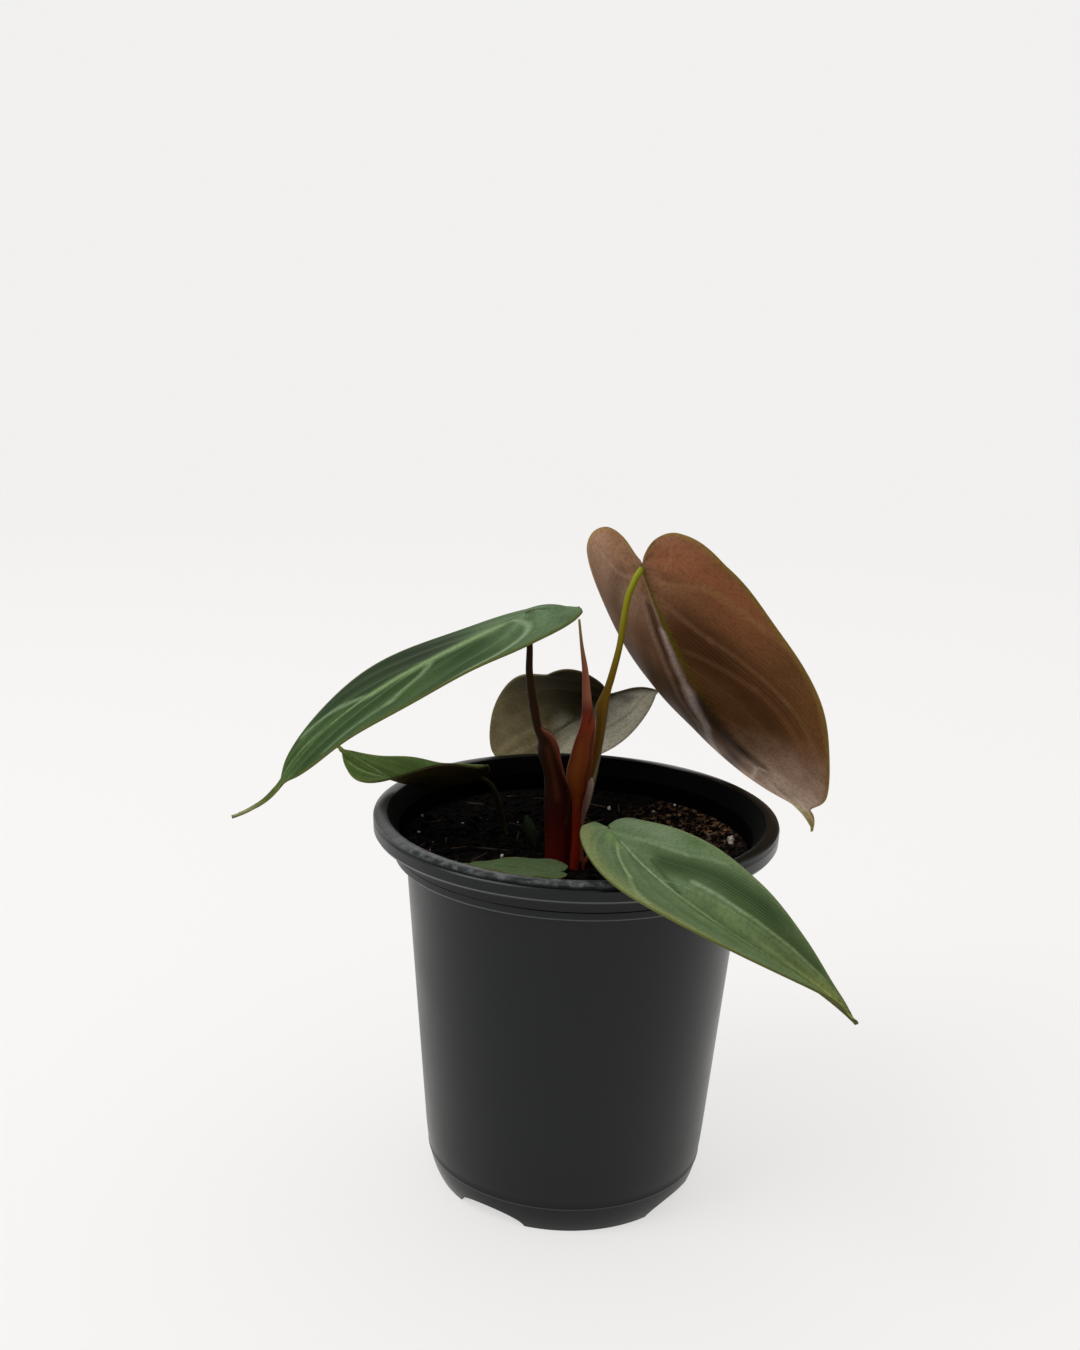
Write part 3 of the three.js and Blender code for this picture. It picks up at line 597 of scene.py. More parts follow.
def half_outline(leaf):
    """The blade's edge from the notch at the stalk to the tip, as many points as there are rows."""
    shape = []
    for x, y in HEART_OUTLINE:
        past = y - WIDEST_AT
        x *= math.exp(leaf["belly"] * past + leaf["taper"] * past * (y - SHOULDER_AT))
        x *= 1 + leaf["blunt"] * math.exp(-((y - SHOULDER_AT) / SHOULDER_REACH) ** 2)
        y *= leaf["lobes"] if y < 0 else 1 - leaf["drip_tip"]
        shape.append((x, y))
    shape.append((0.0, 1.0))
    shape = np.array(shape)
    ends = np.vstack([2 * shape[0] - shape[1], shape, 2 * shape[-1] - shape[-2]])
    edge = []
    for row in range(BLADE_ROWS + 1):
        place = row / BLADE_ROWS * (len(shape) - 1)
        start = min(int(place), len(shape) - 2)
        s = place - start
        a, b, c, d = ends[start:start + 4]
        edge.append(0.5 * (2 * b + (c - a) * s + (2 * a - 5 * b + 4 * c - d) * s**2
                           + (3 * b - a - 3 * c + d) * s**3))
    edge = np.array(edge)
    edge[:, 0] = np.clip(edge[:, 0], 0, None)
    return edge


def unit_rows(vectors):
    return vectors / np.linalg.norm(vectors, axis=1)[:, None]


def blade_points(leaf):
    """The function that bends a grid of shares into the blade, and the way the blade faces."""
    edge = half_outline(leaf)
    share_line = np.linspace(-0.3, 1, 400)

    def angles(share):
        along = np.clip(share, 0, None)
        drip = leaf["drip_tip"] * 1.2
        flick = leaf["flick"] * np.clip((share - 1 + drip) / drip, 0, 1)
        slope = leaf["rise"] + leaf["bend"] * along + leaf["bend_more"] * along**2 + flick
        course = leaf["heading"] + leaf["turn"] * along + leaf["turn_more"] * along**2
        tilt = leaf["roll"] + leaf["twist"] * along + leaf["twist_more"] * along**2
        return np.radians(slope), np.radians(course), np.radians(tilt)

    def axes(share):
        slope, course, tilt = angles(share)
        forward = np.stack([np.cos(slope) * np.cos(course), np.cos(slope) * np.sin(course),
                            np.sin(slope)], -1)
        level = np.stack([-np.sin(course), np.cos(course), 0 * course], -1)
        raised = np.cross(forward, level)
        side = level * np.cos(tilt)[:, None] + raised * np.sin(tilt)[:, None]
        up = raised * np.cos(tilt)[:, None] - level * np.sin(tilt)[:, None]
        return forward, side, up

    steps = np.diff(share_line)
    forward, _, _ = axes(share_line[:-1] + steps / 2)
    line = np.vstack([[0, 0, 0], np.cumsum(forward * steps[:, None] * leaf["length"], axis=0)])
    start = np.array([np.interp(0, share_line, line[:, k]) for k in range(3)])
    line += np.array(leaf["attach"]) - start

    def place_vertex(shares):
        across = shares[:, 0] * 2 - 1
        hand = np.where(across < 0, 1.0, -1.0)
        out = np.abs(across)
        row = np.rint(shares[:, 1] * BLADE_ROWS).astype(int)
        share = row / BLADE_ROWS
        rib = np.clip((share - FAN_SHARE) / (1 - FAN_SHARE), 0, 1) ** 1.35
        x = out * edge[row, 0]
        y = (1 - out) * rib + out * edge[row, 1]
        along = np.clip(y, 0, 1)
        left = hand > 0
        fold = np.zeros(len(y))
        for chosen, name in ((left, "fold_left"), (~left, "fold_right")):
            base, middle, tip = leaf[name]
            lift = (base * (1 - along) * (1 - 2 * along) + middle * 4 * along * (1 - along)
                    + tip * along * (2 * along - 1))
            fold = np.where(chosen, lift, fold)
        curl = np.where(left, leaf["curl_left"], leaf["curl_right"])
        lift = np.radians(fold + curl * x / 2)
        back = np.clip(-y, 0, None)
        back_turn = np.where(left, leaf["back_left"], leaf["back_right"])
        back_angle = np.radians(back_turn) * np.clip(back / LOBE_REACH, 0, 1)
        place = np.where(y < 0, -back * np.cos(back_angle), y)
        middle_line = np.stack([np.interp(place, share_line, line[:, k]) for k in range(3)], -1)
        _, side, up = axes(place)
        half = leaf["half_width"]
        wave = leaf["wave"] * out**3 * np.sin(10 * math.pi * share + np.where(left, 0, 2))
        veins = 0.5 + 0.5 * np.cos(2 * math.pi * VEIN_COUNT * vein_field(out, share))
        quilt = leaf["quilt"] * np.sin(math.pi * np.clip(out, 0, 1)) * (veins - 0.5)
        quilt -= MIDRIB_GROOVE * np.exp(-(out / 0.05) ** 2) * (share > FAN_SHARE)
        rise = (x * half * np.sin(lift) + wave + quilt
                + back * leaf["length"] * np.sin(back_angle))
        return (middle_line + side * (hand * x * half * np.cos(lift))[:, None]
                + up * rise[:, None])

    return place_vertex, Vector(axes(np.array([0.33]))[2][0])


def vein_field(out, share):
    """Even along each side vein. They leave the midrib at a small angle and sweep to the tip."""
    return share ** (VEIN_SPACING * (1 + VEIN_SWEEP * out**VEIN_CURVE))


def make_vein_group():
    """Masks of a blade's veins from the grid's own UV map, by the same rule as vein_field."""
    results = ("Midrib", "Line", "Halo", "Fine", "Out", "Along", "Side")
    group, given, final = new_group(
        "veins", {"UV": "Vector", "Midrib Width": "Float", "Jitter": "Float"},
        dict.fromkeys(results, "Float"))
    parts = node(group, "SeparateXYZ", {0: given["UV"]}).outputs
    side = math_node(group, "MULTIPLY_ADD", parts[0], 2.0, -1.0)
    out = math_node(group, "ABSOLUTE", side)
    along = parts[1]
    curve = math_node(group, "POWER", out, VEIN_CURVE)
    power = math_node(group, "MULTIPLY_ADD", curve, VEIN_SWEEP * VEIN_SPACING, VEIN_SPACING)
    field = math_node(group, "ADD", math_node(group, "POWER", along, power), given["Jitter"])

    def near_line(count):
        """1 on each line, 0 midway between two lines."""
        part = math_node(group, "MULTIPLY_ADD", field, count, 20.5)
        part = math_node(group, "SUBTRACT", math_node(group, "FRACT", part), 0.5)
        return math_node(group, "MULTIPLY_ADD", math_node(group, "ABSOLUTE", part), -2.0, 1.0)

    number = math_node(group, "MULTIPLY_ADD", math_node(group, "SIGN", side), 20.0,
                       times(group, field, VEIN_COUNT))
    number = math_node(group, "ROUND", number)
    lot = node(group, "TexWhiteNoise", {"W": number}, noise_dimensions="1D").outputs["Value"]
    force = math_node(group, "MULTIPLY_ADD", lot, 0.7, 0.3)
    main = near_line(VEIN_COUNT)
    line = times(group, smooth_step(group, main, 0.84, 0.99), force)
    line = times(group, line, smooth_step(group, out, 0.25, 0.95, 1.0, 0.15))
    halo = times(group, smooth_step(group, main, 0.15, 1.0), force)
    midrib = smooth_step(group, out, 0.0, given["Midrib Width"], 1.0, 0.0)
    fine = near_line(VEIN_COUNT * 9)
    for name, value in zip(results, (midrib, line, halo, fine, out, along, side)):
        group.links.new(value, final.inputs[name])
    return group


def make_stroke_group():
    """A soft stroke on the blade, from Start to End, bowed sideways. Puts out its mask.
    Places are side (-1 to 1) and share of the length; Width is in half widths of the blade."""
    group, given, final = new_group(
        "stroke", {"Place": "Vector", "Start": "Vector", "End": "Vector", "Bow": "Float",
                   "Width": "Float"}, {"Mask": "Float"})
    stretch = (1.0, BLADE_STRETCH, 0.0)
    start = vector_node(group, "MULTIPLY", given["Start"], stretch)
    end = vector_node(group, "MULTIPLY", given["End"], stretch)
    place = vector_node(group, "MULTIPLY", given["Place"], stretch)
    reach = vector_node(group, "SUBTRACT", end, start)
    offset = vector_node(group, "SUBTRACT", place, start)
    along = vector_node(group, "DOT_PRODUCT", offset, reach, output="Value")
    size = vector_node(group, "DOT_PRODUCT", reach, reach, output="Value")
    share = math_node(group, "DIVIDE", along, size, clamp=True)
    bow = times(group, share, math_node(group, "SUBTRACT", 1.0, share))
    bow = times(group, times(group, bow, 4.0), given["Bow"])
    across = vector_node(group, "NORMALIZE", vector_node(group, "CROSS_PRODUCT", reach, (0, 0, 1)))
    line = vector_node(group, "ADD", vector_node(group, "SCALE", reach, scale=share),
                       vector_node(group, "SCALE", across, scale=bow))
    distance = vector_node(group, "DISTANCE", offset, line, output="Value")
    distance = math_node(group, "DIVIDE", distance, given["Width"])
    group.links.new(smooth_step(group, distance, 0.0, 1.0, 1.0, 0.0), final.inputs["Mask"])
    return group


vein_group = make_vein_group()
stroke_group = make_stroke_group()


def paint_strokes(tree, tint, side, along, strokes):
    """Paints soft strokes over a tint. Each is the side and the length share of its start, the
    same of its end, its width, its share, its colour and, where it is bowed, its bow. All but
    the colour are in hundredths."""
    spot = node(tree, "CombineXYZ", {0: side, 1: along}).outputs[0]
    for side_0, along_0, side_1, along_1, width, share, paint, *bow in strokes:
        stroke = node(tree, "Group", {
            "Place": spot, "Start": (side_0 / 100, along_0 / 100, 0),
            "End": (side_1 / 100, along_1 / 100, 0), "Width": width / 100,
            "Bow": bow[0] / 100 if bow else 0}, node_tree=stroke_group)
        tint = blend(tree, times(tree, stroke.outputs["Mask"], share / 100), tint, paint)
    return tint


def leaf_material(name, tones, vein, shade, edge, rib=None, strokes=(), midrib_width=0.035,
                  rib_end=1.0, vein_share=0.5, shade_share=0.6, fine_share=0.12,
                  roughness=0.75, sheen=0.03, shine=0.06):
    """Tones are colours at shares of the length; shade lies between the veins."""
    material, tree, place, uv = new_material(name)
    drift = cloud(tree, place, 45.0, 2.0)
    jitter = smooth_step(tree, drift, 0.2, 0.8, -0.012, 0.012)
    masks = node(tree, "Group", {"UV": uv, "Jitter": jitter, "Midrib Width": midrib_width},
                 node_tree=vein_group).outputs
    tint = colour_ramp(tree, masks["Along"], tones)
    uneven = smooth_step(tree, cloud(tree, place, 130.0, 5.0), 0.3, 0.7, -0.15, 0.25)
    shaded = math_node(tree, "SUBTRACT", 0.75, masks["Halo"])
    shaded = math_node(tree, "MULTIPLY_ADD", shaded, shade_share, uneven, clamp=True)
    tint = blend(tree, shaded, tint, shade)
    wander = math_node(tree, "MULTIPLY_ADD", drift, 0.1, -0.05)
    tint = paint_strokes(tree, tint, math_node(tree, "ADD", masks["Side"], wander),
                         math_node(tree, "MULTIPLY_ADD", wander, 0.2, masks["Along"]), strokes)
    tint = blend(tree, times(tree, masks["Fine"], fine_share), tint, vein)
    tint = blend(tree, times(tree, masks["Line"], vein_share), tint, vein)
    rib_fade = smooth_step(tree, masks["Along"], rib_end * 0.6, rib_end, 0.8, 0.0)
    tint = blend(tree, times(tree, masks["Midrib"], rib_fade), tint, rib or vein)
    margin = smooth_step(tree, masks["Out"], 0.94, 0.995, 0.0, 0.75)
    tint = blend(tree, margin, tint, edge)
    grain = smooth_step(tree, cloud(tree, place, 1100.0, 3.0), 0.42, 0.66, 0.0, 0.3)
    link(tree, "Base Color", blend(tree, grain, tint, shade))
    velvet = cloud(tree, place, 2400.0, 2.0)
    relief = math_node(tree, "MULTIPLY_ADD", masks["Fine"], 0.35, velvet)
    relief = math_node(tree, "MULTIPLY_ADD", masks["Line"], -0.8, relief)
    bump(tree, relief, 0.25, 0.00012)
    set_values(tree, {"Roughness": roughness, "Specular IOR Level": shine, "Sheen Weight": sheen,
                      "Sheen Roughness": 0.4, "Sheen Tint": (0.85, 0.95, 0.82, 1)})
    return material


def plain_tones(start, middle, end):
    return [(0.15, start), (0.45, middle), (0.85, middle), (0.97, end)]


leaf_edge = leaf_material(
    "leaf_edge", plain_tones((84, 84, 54), (96, 104, 56), (130, 122, 62)),
    (108, 112, 62), (84, 92, 46), (100, 104, 56))
top_dark = leaf_material(
    "leaf_top_dark",
    [(0.12, (84, 108, 70)), (0.3, (70, 96, 54)), (0.7, (60, 86, 42)),
     (0.9, (84, 104, 54)), (1.0, (150, 148, 90))],
    (122, 144, 102), (32, 52, 18), (92, 104, 52), rib=(128, 150, 102),
    fine_share=0.06, vein_share=0.6)
top_small = leaf_material(
    "leaf_top_small", plain_tones((90, 108, 74), (84, 102, 66), (98, 112, 66)),
    (138, 156, 116), (66, 88, 48), (110, 118, 70), shade_share=0.4,
    vein_share=0.4)
edge_gold = leaf_material(
    "leaf_edge_gold", plain_tones((132, 104, 78), (140, 110, 54), (150, 126, 56)),
    (146, 116, 62), (116, 86, 38), (140, 112, 52))
edge_grey = leaf_material(
    "leaf_edge_grey", plain_tones((96, 88, 62), (110, 102, 76), (120, 112, 84)),
    (120, 112, 86), (84, 76, 50), (112, 104, 78))


def add_leaf(name, replaced, top, under, edge=leaf_edge, **values):
    leaf = {**PLAIN_LEAF, **values}
    place_vertex, up = blade_points(leaf)
    piece = grid_piece(name, BLADE_COLUMNS, BLADE_ROWS, place_vertex)
    if sum((face.normal for face in piece.data.polygons), Vector()).dot(up) < 0:
        only(piece)
        bpy.ops.object.mode_set(mode="EDIT")
        bpy.ops.mesh.select_all(action="SELECT")
        bpy.ops.mesh.flip_normals()
        bpy.ops.object.mode_set(mode="OBJECT")
    for material in (top, under, edge):
        piece.data.materials.append(material)
    wall = piece.modifiers.new("thickness", "SOLIDIFY")
    wall.thickness = BLADE_THICKNESS * MM
    wall.offset = 0
    wall.material_offset = 1
    wall.material_offset_rim = 2
    apply_modifiers(piece)
    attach(piece, "root")
    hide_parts(replaced)
    return piece


top_green = leaf_material(
    "leaf_top",
    [(0.12, (98, 122, 86)), (0.3, (88, 112, 74)), (0.42, (60, 86, 40)),
     (0.75, (58, 84, 38)), (0.88, (80, 102, 54)), (0.94, (116, 122, 50)),
     (1.0, (206, 200, 150))],
    (120, 142, 100), (30, 50, 16), (92, 104, 52), rib=(128, 150, 102),
    shade_share=0.5, fine_share=0.08, vein_share=0.35,
    strokes=[
        (5, 33, 100, 43, 35, 75, (84, 108, 70)),
        (15, 50, 95, 55, 75, 95, (13, 28, 6)),
        (10, 62, 90, 66, 40, 70, (18, 34, 10)),
        (-15, 38, -100, 50, 34, 75, (30, 52, 14)),
        (-25, 60, -75, 74, 40, 75, (30, 56, 14)),
        (0, 21, -100, 49, 7, 75, (132, 152, 116), -16),
        (-10, 48, -62, 58, 7, 65, (124, 148, 104)),
        (-62, 58, -85, 70, 8, 50, (112, 134, 96)),
        (0, 64, 85, 73.5, 8, 70, (122, 142, 106)),
        (3, 76, 70, 84, 9, 50, (108, 128, 96)),
        (0, 26, -3, 62, 15, 80, (124, 148, 98)),
        (-3, 62, 0, 82, 9, 65, (108, 130, 88)),
    ])
under_green = leaf_material(
    "leaf_under_green", plain_tones((76, 68, 44), (84, 76, 48), (110, 100, 56)),
    (100, 92, 62), (62, 54, 30), (90, 86, 46), shade_share=0.4)
add_leaf(
    "blade_upper_left", "leaf_upper_left", top_green, under_green,
    attach=(-14.9, -7.3, 157.2), heading=183, turn=-1, turn_more=10,
    rise=-27, bend=9, bend_more=-57, roll=-2.5, twist=-8, twist_more=-2.5,
    length=93, half_width=25, fold_left=(-7, -5, -2), fold_right=(-13, -2, 3),
    curl_left=12, belly=0.37, taper=0.94, drip_tip=0.15,
    flick=59, back_left=-4, back_right=-22)

under_red = leaf_material(
    "leaf_under_red",
    # Painted light: these tones are partly the underside's own copper and partly painted light for
    # light shining through the blade; the pale tones towards the tip are a painted gloss.
    [(0.1, (158, 122, 94)), (0.27, (158, 112, 82)), (0.42, (116, 78, 50)),
     (0.66, (122, 80, 44)), (0.77, (192, 158, 134)), (0.88, (224, 198, 176)),
     (0.94, (222, 206, 156)), (1.0, (190, 170, 90))],
    (160, 120, 88), (84, 52, 24), (140, 112, 54), rib=(104, 100, 14),
    midrib_width=0.05, rib_end=0.7, shade_share=0.25, vein_share=0.18, fine_share=0.13,
    roughness=0.55, sheen=0.0, shine=0.04,
    strokes=[
        (55, 22, 85, 42, 55, 60, (176, 106, 70)),
        (-85, 30, -40, 34, 50, 60, (176, 142, 118)),
        (20, 48, 50, 62, 40, 65, (62, 32, 8)),
        (12, 40, 30, 50, 30, 55, (66, 34, 12)),
        (-100, 50, -40, 56, 40, 85, (60, 38, 4)),
        (-100, 60, -50, 66, 22, 75, (74, 54, 16)),
        (-12, 33, -13, 48, 10, 75, (50, 26, 8)),
        (-95, 72, -30, 73.5, 14, 80, (66, 50, 34)),
        # Painted shade in the crease beside the lower midrib.
        (-7, 60, -5, 74, 17, 80, (24, 22, 10)),
        (-5, 74, 12, 79, 15, 65, (36, 24, 12)),
        # Painted shade in a shallow fold of the left lobe.
        (-46, 27, -66, 42, 16, 55, (92, 64, 40)),
        # Painted highlights: sheen streaks along the crease and along a vein ridge of the left
        # half.
        (-4, 24, -5, 42, 4, 50, (176, 148, 132)),
        (-5, 40, -14, 57, 7, 70, (212, 190, 180)),
        (-14, 57, -24, 65, 11, 85, (226, 206, 198)),
        (-24, 65, -90, 73, 9, 80, (226, 206, 196)),
        (-17, 30, -24, 52, 6, 50, (164, 132, 114)),
        (-24, 52, -38, 64, 6, 55, (158, 126, 108)),
        (-38, 64, -75, 70, 6, 50, (170, 140, 122)),
        (8, 28, 34, 46, 5, 40, (156, 116, 84), -3),
        (34, 46, 70, 60, 5, 40, (156, 114, 80)),
        (70, 60, 96, 72, 5, 30, (150, 110, 76)),
        (15, 25, 60, 36, 7, 40, (180, 130, 92), -3),
        (60, 36, 98, 50, 8, 40, (166, 122, 80)),
        (20, 21, 75, 24, 6, 30, (190, 136, 102), -12),
        (-20, 21, -75, 30, 6, 30, (200, 164, 138), 14),
        (6, 46, 46, 57.5, 5, 35, (140, 100, 68)),
        (46, 57.5, 80, 71, 5, 35, (140, 100, 68)),
        (5, 65, 45, 74.5, 4, 35, (150, 116, 90)),
        (-60, 77.5, 10, 80, 4, 60, (236, 218, 202)),
        (10, 80, 70, 79.5, 7, 40, (214, 190, 168)),
    ])
add_leaf(
    "blade_upper_right", "leaf_upper_right", top_dark, under_red, edge_gold,
    attach=(15.2, 12.2, 166.9), heading=32.4, turn=-41.3, turn_more=31.9,
    rise=-65.8, bend=23.3, bend_more=7.5, roll=-25, twist=8.7, twist_more=1.2,
    length=99.3, half_width=32.3, fold_left=(10.6, -2.9, 9.6), fold_right=(0.5, 17.4, -15.4),
    curl_left=35, curl_right=-14, belly=1.19, taper=0.7, blunt=0.17, lobes=0.62, drip_tip=0.07,
    flick=-53, back_left=35.4, back_right=4)

under_olive = leaf_material(
    "leaf_under_olive",
    [(0.1, (62, 54, 30)), (0.38, (64, 56, 32)), (0.56, (118, 106, 74)),
     (0.9, (130, 118, 86)), (1.0, (120, 112, 80))],
    (140, 132, 104), (66, 56, 32), (104, 96, 66), shade_share=0.35,
    vein_share=0.3, fine_share=0.08, shine=0.04,
    strokes=[
        # Painted shade on the half of the blade that folds back.
        (-90, 36, -10, 28, 40, 75, (44, 36, 16)),
        # Painted light where light shines through the other half.
        (55, 30, 90, 60, 75, 95, (222, 216, 194)),
        (10, 47, 50, 56, 40, 85, (208, 204, 176)),
        (45, 15, 55, 30, 22, 60, (104, 100, 96)),
        (80, 30, 50, 50, 8, 50, (150, 142, 110)),
    ])
add_leaf(
    "blade_back", "leaf_back", top_dark, under_olive, edge_grey,
    attach=(8.6, 43.3, 123.3), heading=146.3, turn=-23.4, turn_more=-12.7,
    rise=-39.8, bend=7.8, bend_more=11.4, roll=37.4, twist=1.5, twist_more=-6.6,
    length=62.9, half_width=23, fold_left=(9, 29, 2.5), fold_right=(26, 7, 11),
    curl_left=-33, curl_right=-1, belly=0.07, taper=0.68, lobes=0.47,
    back_left=-13.5, back_right=-3)

under_brown = leaf_material(
    "leaf_under_brown", plain_tones((64, 54, 26), (88, 76, 36), (120, 112, 60)),
    (110, 96, 54), (64, 54, 22), (176, 162, 122), shade_share=0.4,
    vein_share=0.2)
top_bright = leaf_material(
    "leaf_top_bright", plain_tones((66, 84, 42), (86, 110, 54), (146, 150, 74)),
    (134, 152, 98), (54, 78, 30), (112, 120, 60), shade_share=0.5,
    strokes=[
        (-30, 58, 12, 75, 8, 60, (146, 162, 110)),
        (12, 75, 90, 83, 8, 60, (146, 162, 110)),
        (30, 50, 90, 66, 20, 60, (50, 72, 26)),
        (-40, 70, -80, 80, 8, 50, (150, 164, 104)),
    ])
add_leaf(
    "blade_left", "leaf_left", top_bright, under_brown,
    attach=(-26.5, 15.6, 106.6), heading=195.3, turn=-53.5, turn_more=31.5,
    rise=-20.9, bend=62.5, bend_more=1.6, roll=-4, twist=-32, twist_more=-15.6,
    length=42.3, half_width=9.3, fold_left=(49, 55, -55), fold_right=(12, 12, -43),
    curl_left=-2.4, curl_right=-16.6, belly=0.49, taper=-0.54, lobes=0.54, drip_tip=0.03,
    quilt=0.2)

top_front = leaf_material(
    "leaf_top_front",
    [(0.12, (110, 132, 88)), (0.3, (108, 128, 94)), (0.5, (94, 114, 78)),
     (0.7, (94, 114, 72)), (0.82, (118, 132, 74)), (0.91, (170, 172, 92)),
     (1.0, (196, 192, 106))],
    (142, 160, 122), (62, 84, 46), (114, 128, 84), rib=(144, 160, 120),
    shade_share=0.45, vein_share=0.24, fine_share=0.18, rib_end=0.95, midrib_width=0.028,
    strokes=[
        (25, 24, 30, 30, 40, 60, (112, 142, 76)),
        (-90, 25, -80, 42, 35, 60, (120, 140, 108)),
        (90, 30, 98, 60, 30, 65, (140, 144, 86)),
        (-32, 47, -78, 65, 27, 95, (30, 50, 14)),
        (-50, 64, -85, 74, 16, 70, (52, 72, 30)),
        (-30, 56, -46, 65, 6, 60, (150, 166, 130)),
        (-46, 65, -85, 77, 6, 60, (146, 162, 118)),
        (-25, 66, -42, 82, 20, 50, (132, 150, 98)),
        (-40, 36, -64, 50, 5, 40, (138, 156, 118)),
        (-64, 50, -85, 57, 5, 35, (138, 156, 118)),
        (-20, 44, -3, 56, 6, 70, (44, 64, 30)),
        (-3, 56, 30, 71, 5, 70, (48, 70, 34)),
        (20, 30, 50, 48, 5, 65, (154, 172, 126)),
        (50, 48, 90, 55, 5, 50, (146, 162, 112)),
        (50, 26, 86, 44, 5, 40, (132, 150, 106)),
        (-6, 28, 0, 50, 4.5, 65, (152, 170, 130)),
        (0, 50, 10, 66, 4.5, 60, (152, 170, 128)),
        (10, 66, -8, 84, 4.5, 55, (146, 162, 112)),
        (30, 62, 10, 80, 14, 40, (112, 134, 88)),
        # Painted light on the drooping tip, which faces away from the lamp.
        (-68, 84, -50, 99, 35, 50, (196, 202, 118)),
    ])
add_leaf(
    "blade_front", "leaf_front", top_front, under_green,
    attach=(7.7, -26.8, 107.4), heading=-71.4, turn=22.4, turn_more=61.7,
    rise=-7.3, bend=11.6, bend_more=-50, roll=6.8, twist=10.6, twist_more=10,
    length=86.3, half_width=12.8, fold_left=(9, 31, 47), fold_right=(11, 25, 46),
    curl_left=6.5, curl_right=1.8, belly=0.34, taper=-1.41, lobes=0.41, drip_tip=0.02,
    flick=-1, back_left=-38.4, back_right=-20)

add_leaf(
    "blade_small", "leaf_small", top_small, under_green,
    attach=(-4.6, -18.2, 92.6), heading=178, rise=1, bend=2,
    length=25, half_width=6.5, fold_left=(4, 6, 4), fold_right=(4, 6, 4),
    lobes=0.7, wave=0.2, quilt=0.1)


# Leaf stalks: round and fleshy, thicker where their old sheath clasps them. Each is a grid rolled
# round its own line, whose points are x, y, z and radius from the bottom to the top.
TUBE_SIDES = 28
TUBE_ROWS = 120


def between(t, t0, t1, p0, p1):
    """The point at t on the straight line from p0 at t0 to p1 at t1."""
    return (t1 - t) / (t1 - t0) * p0 + (t - t0) / (t1 - t0) * p1


def smooth_line(path, count):
    """A centripetal Catmull-Rom line through the points, at even steps of its length."""
    path = np.asarray(path, float)
    ends = np.vstack([2 * path[0] - path[1], path, 2 * path[-1] - path[-2]])
    gaps = np.linalg.norm(np.diff(ends[:, :3], axis=0), axis=1) ** 0.5
    knots = np.concatenate([[0], np.cumsum(gaps)])
    fine = []
    for i in range(1, len(ends) - 2):
        t0, t1, t2, t3 = knots[i - 1:i + 3]
        p0, p1, p2, p3 = ends[i - 1:i + 3]
        for t in np.linspace(t1, t2, 24, endpoint=False):
            a1 = between(t, t0, t1, p0, p1)
            a2 = between(t, t1, t2, p1, p2)
            a3 = between(t, t2, t3, p2, p3)
            b1 = between(t, t0, t2, a1, a2)
            b2 = between(t, t1, t3, a2, a3)
            fine.append(between(t, t1, t2, b1, b2))
    fine.append(path[-1])
    fine = np.array(fine)
    length = np.concatenate([[0], np.cumsum(np.linalg.norm(np.diff(fine[:, :3], axis=0), axis=1))])
    even = np.linspace(0, length[-1], count)
    return np.stack([np.interp(even, length, fine[:, k]) for k in range(fine.shape[1])], -1)


def tube_points(path, flatten=1.0):
    """Rolls a grid round a line. flatten squeezes it from front to back."""
    line = smooth_line(path, TUBE_ROWS - 3)
    forward = unit_rows(np.gradient(line[:, :3], axis=0))
    front = np.array([0.0, -1.0, 0.0])
    front = unit_rows(front - forward * (forward @ front)[:, None])
    side = np.cross(forward, front)

    def place_vertex(shares):
        row = np.rint(shares[:, 1] * TUBE_ROWS).astype(int)
        angle = 2 * math.pi * shares[:, 0]
        inner = np.clip(row - 2, 0, TUBE_ROWS - 4)
        from_end = np.minimum(row, TUBE_ROWS - row)
        cap = np.choose(np.minimum(from_end, 2), (0.0, 0.75, 1.0))
        radius = line[inner, 3] * cap
        across = radius * np.sin(angle)
        deep = radius * np.cos(angle) * flatten
        return line[inner, :3] + side[inner] * across[:, None] + front[inner] * deep[:, None]

    return place_vertex


def stalk_material(name, stops, streak, strokes=()):
    """Colour stops from the foot to the top, with darker streaks that run along the stalk.
    Strokes lie at side 0 in front, -50 at the left and 50 at the right."""
    material, tree, _, uv = new_material(name)
    parts = node(tree, "SeparateXYZ", {0: uv}).outputs
    body = colour_ramp(tree, parts[1], stops)
    stretched = node(tree, "Mapping", {"Vector": uv, "Scale": (14.0, 1.6, 1.0)}).outputs[0]
    lines = cloud(tree, stretched, 3.0, 5.0)
    body = blend(tree, smooth_step(tree, lines, 0.4, 0.75, 0.0, 0.35), body, streak)
    turned = math_node(tree, "FRACT", math_node(tree, "ADD", parts[0], 0.5))
    side = math_node(tree, "MULTIPLY_ADD", turned, 2.0, -1.0)
    link(tree, "Base Color", paint_strokes(tree, body, side, parts[1], strokes))
    bump(tree, lines, 0.25, 0.0002)
    set_values(tree, {"Roughness": 0.6, "Specular IOR Level": 0.1})
    return material


def add_stalk(name, replaced, material, path, slot="stalk", **shape):
    piece = grid_piece(name, TUBE_SIDES, TUBE_ROWS, tube_points(path, **shape))
    piece.data.materials.append(material)
    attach(piece, "root")
    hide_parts(replaced)
    return piece


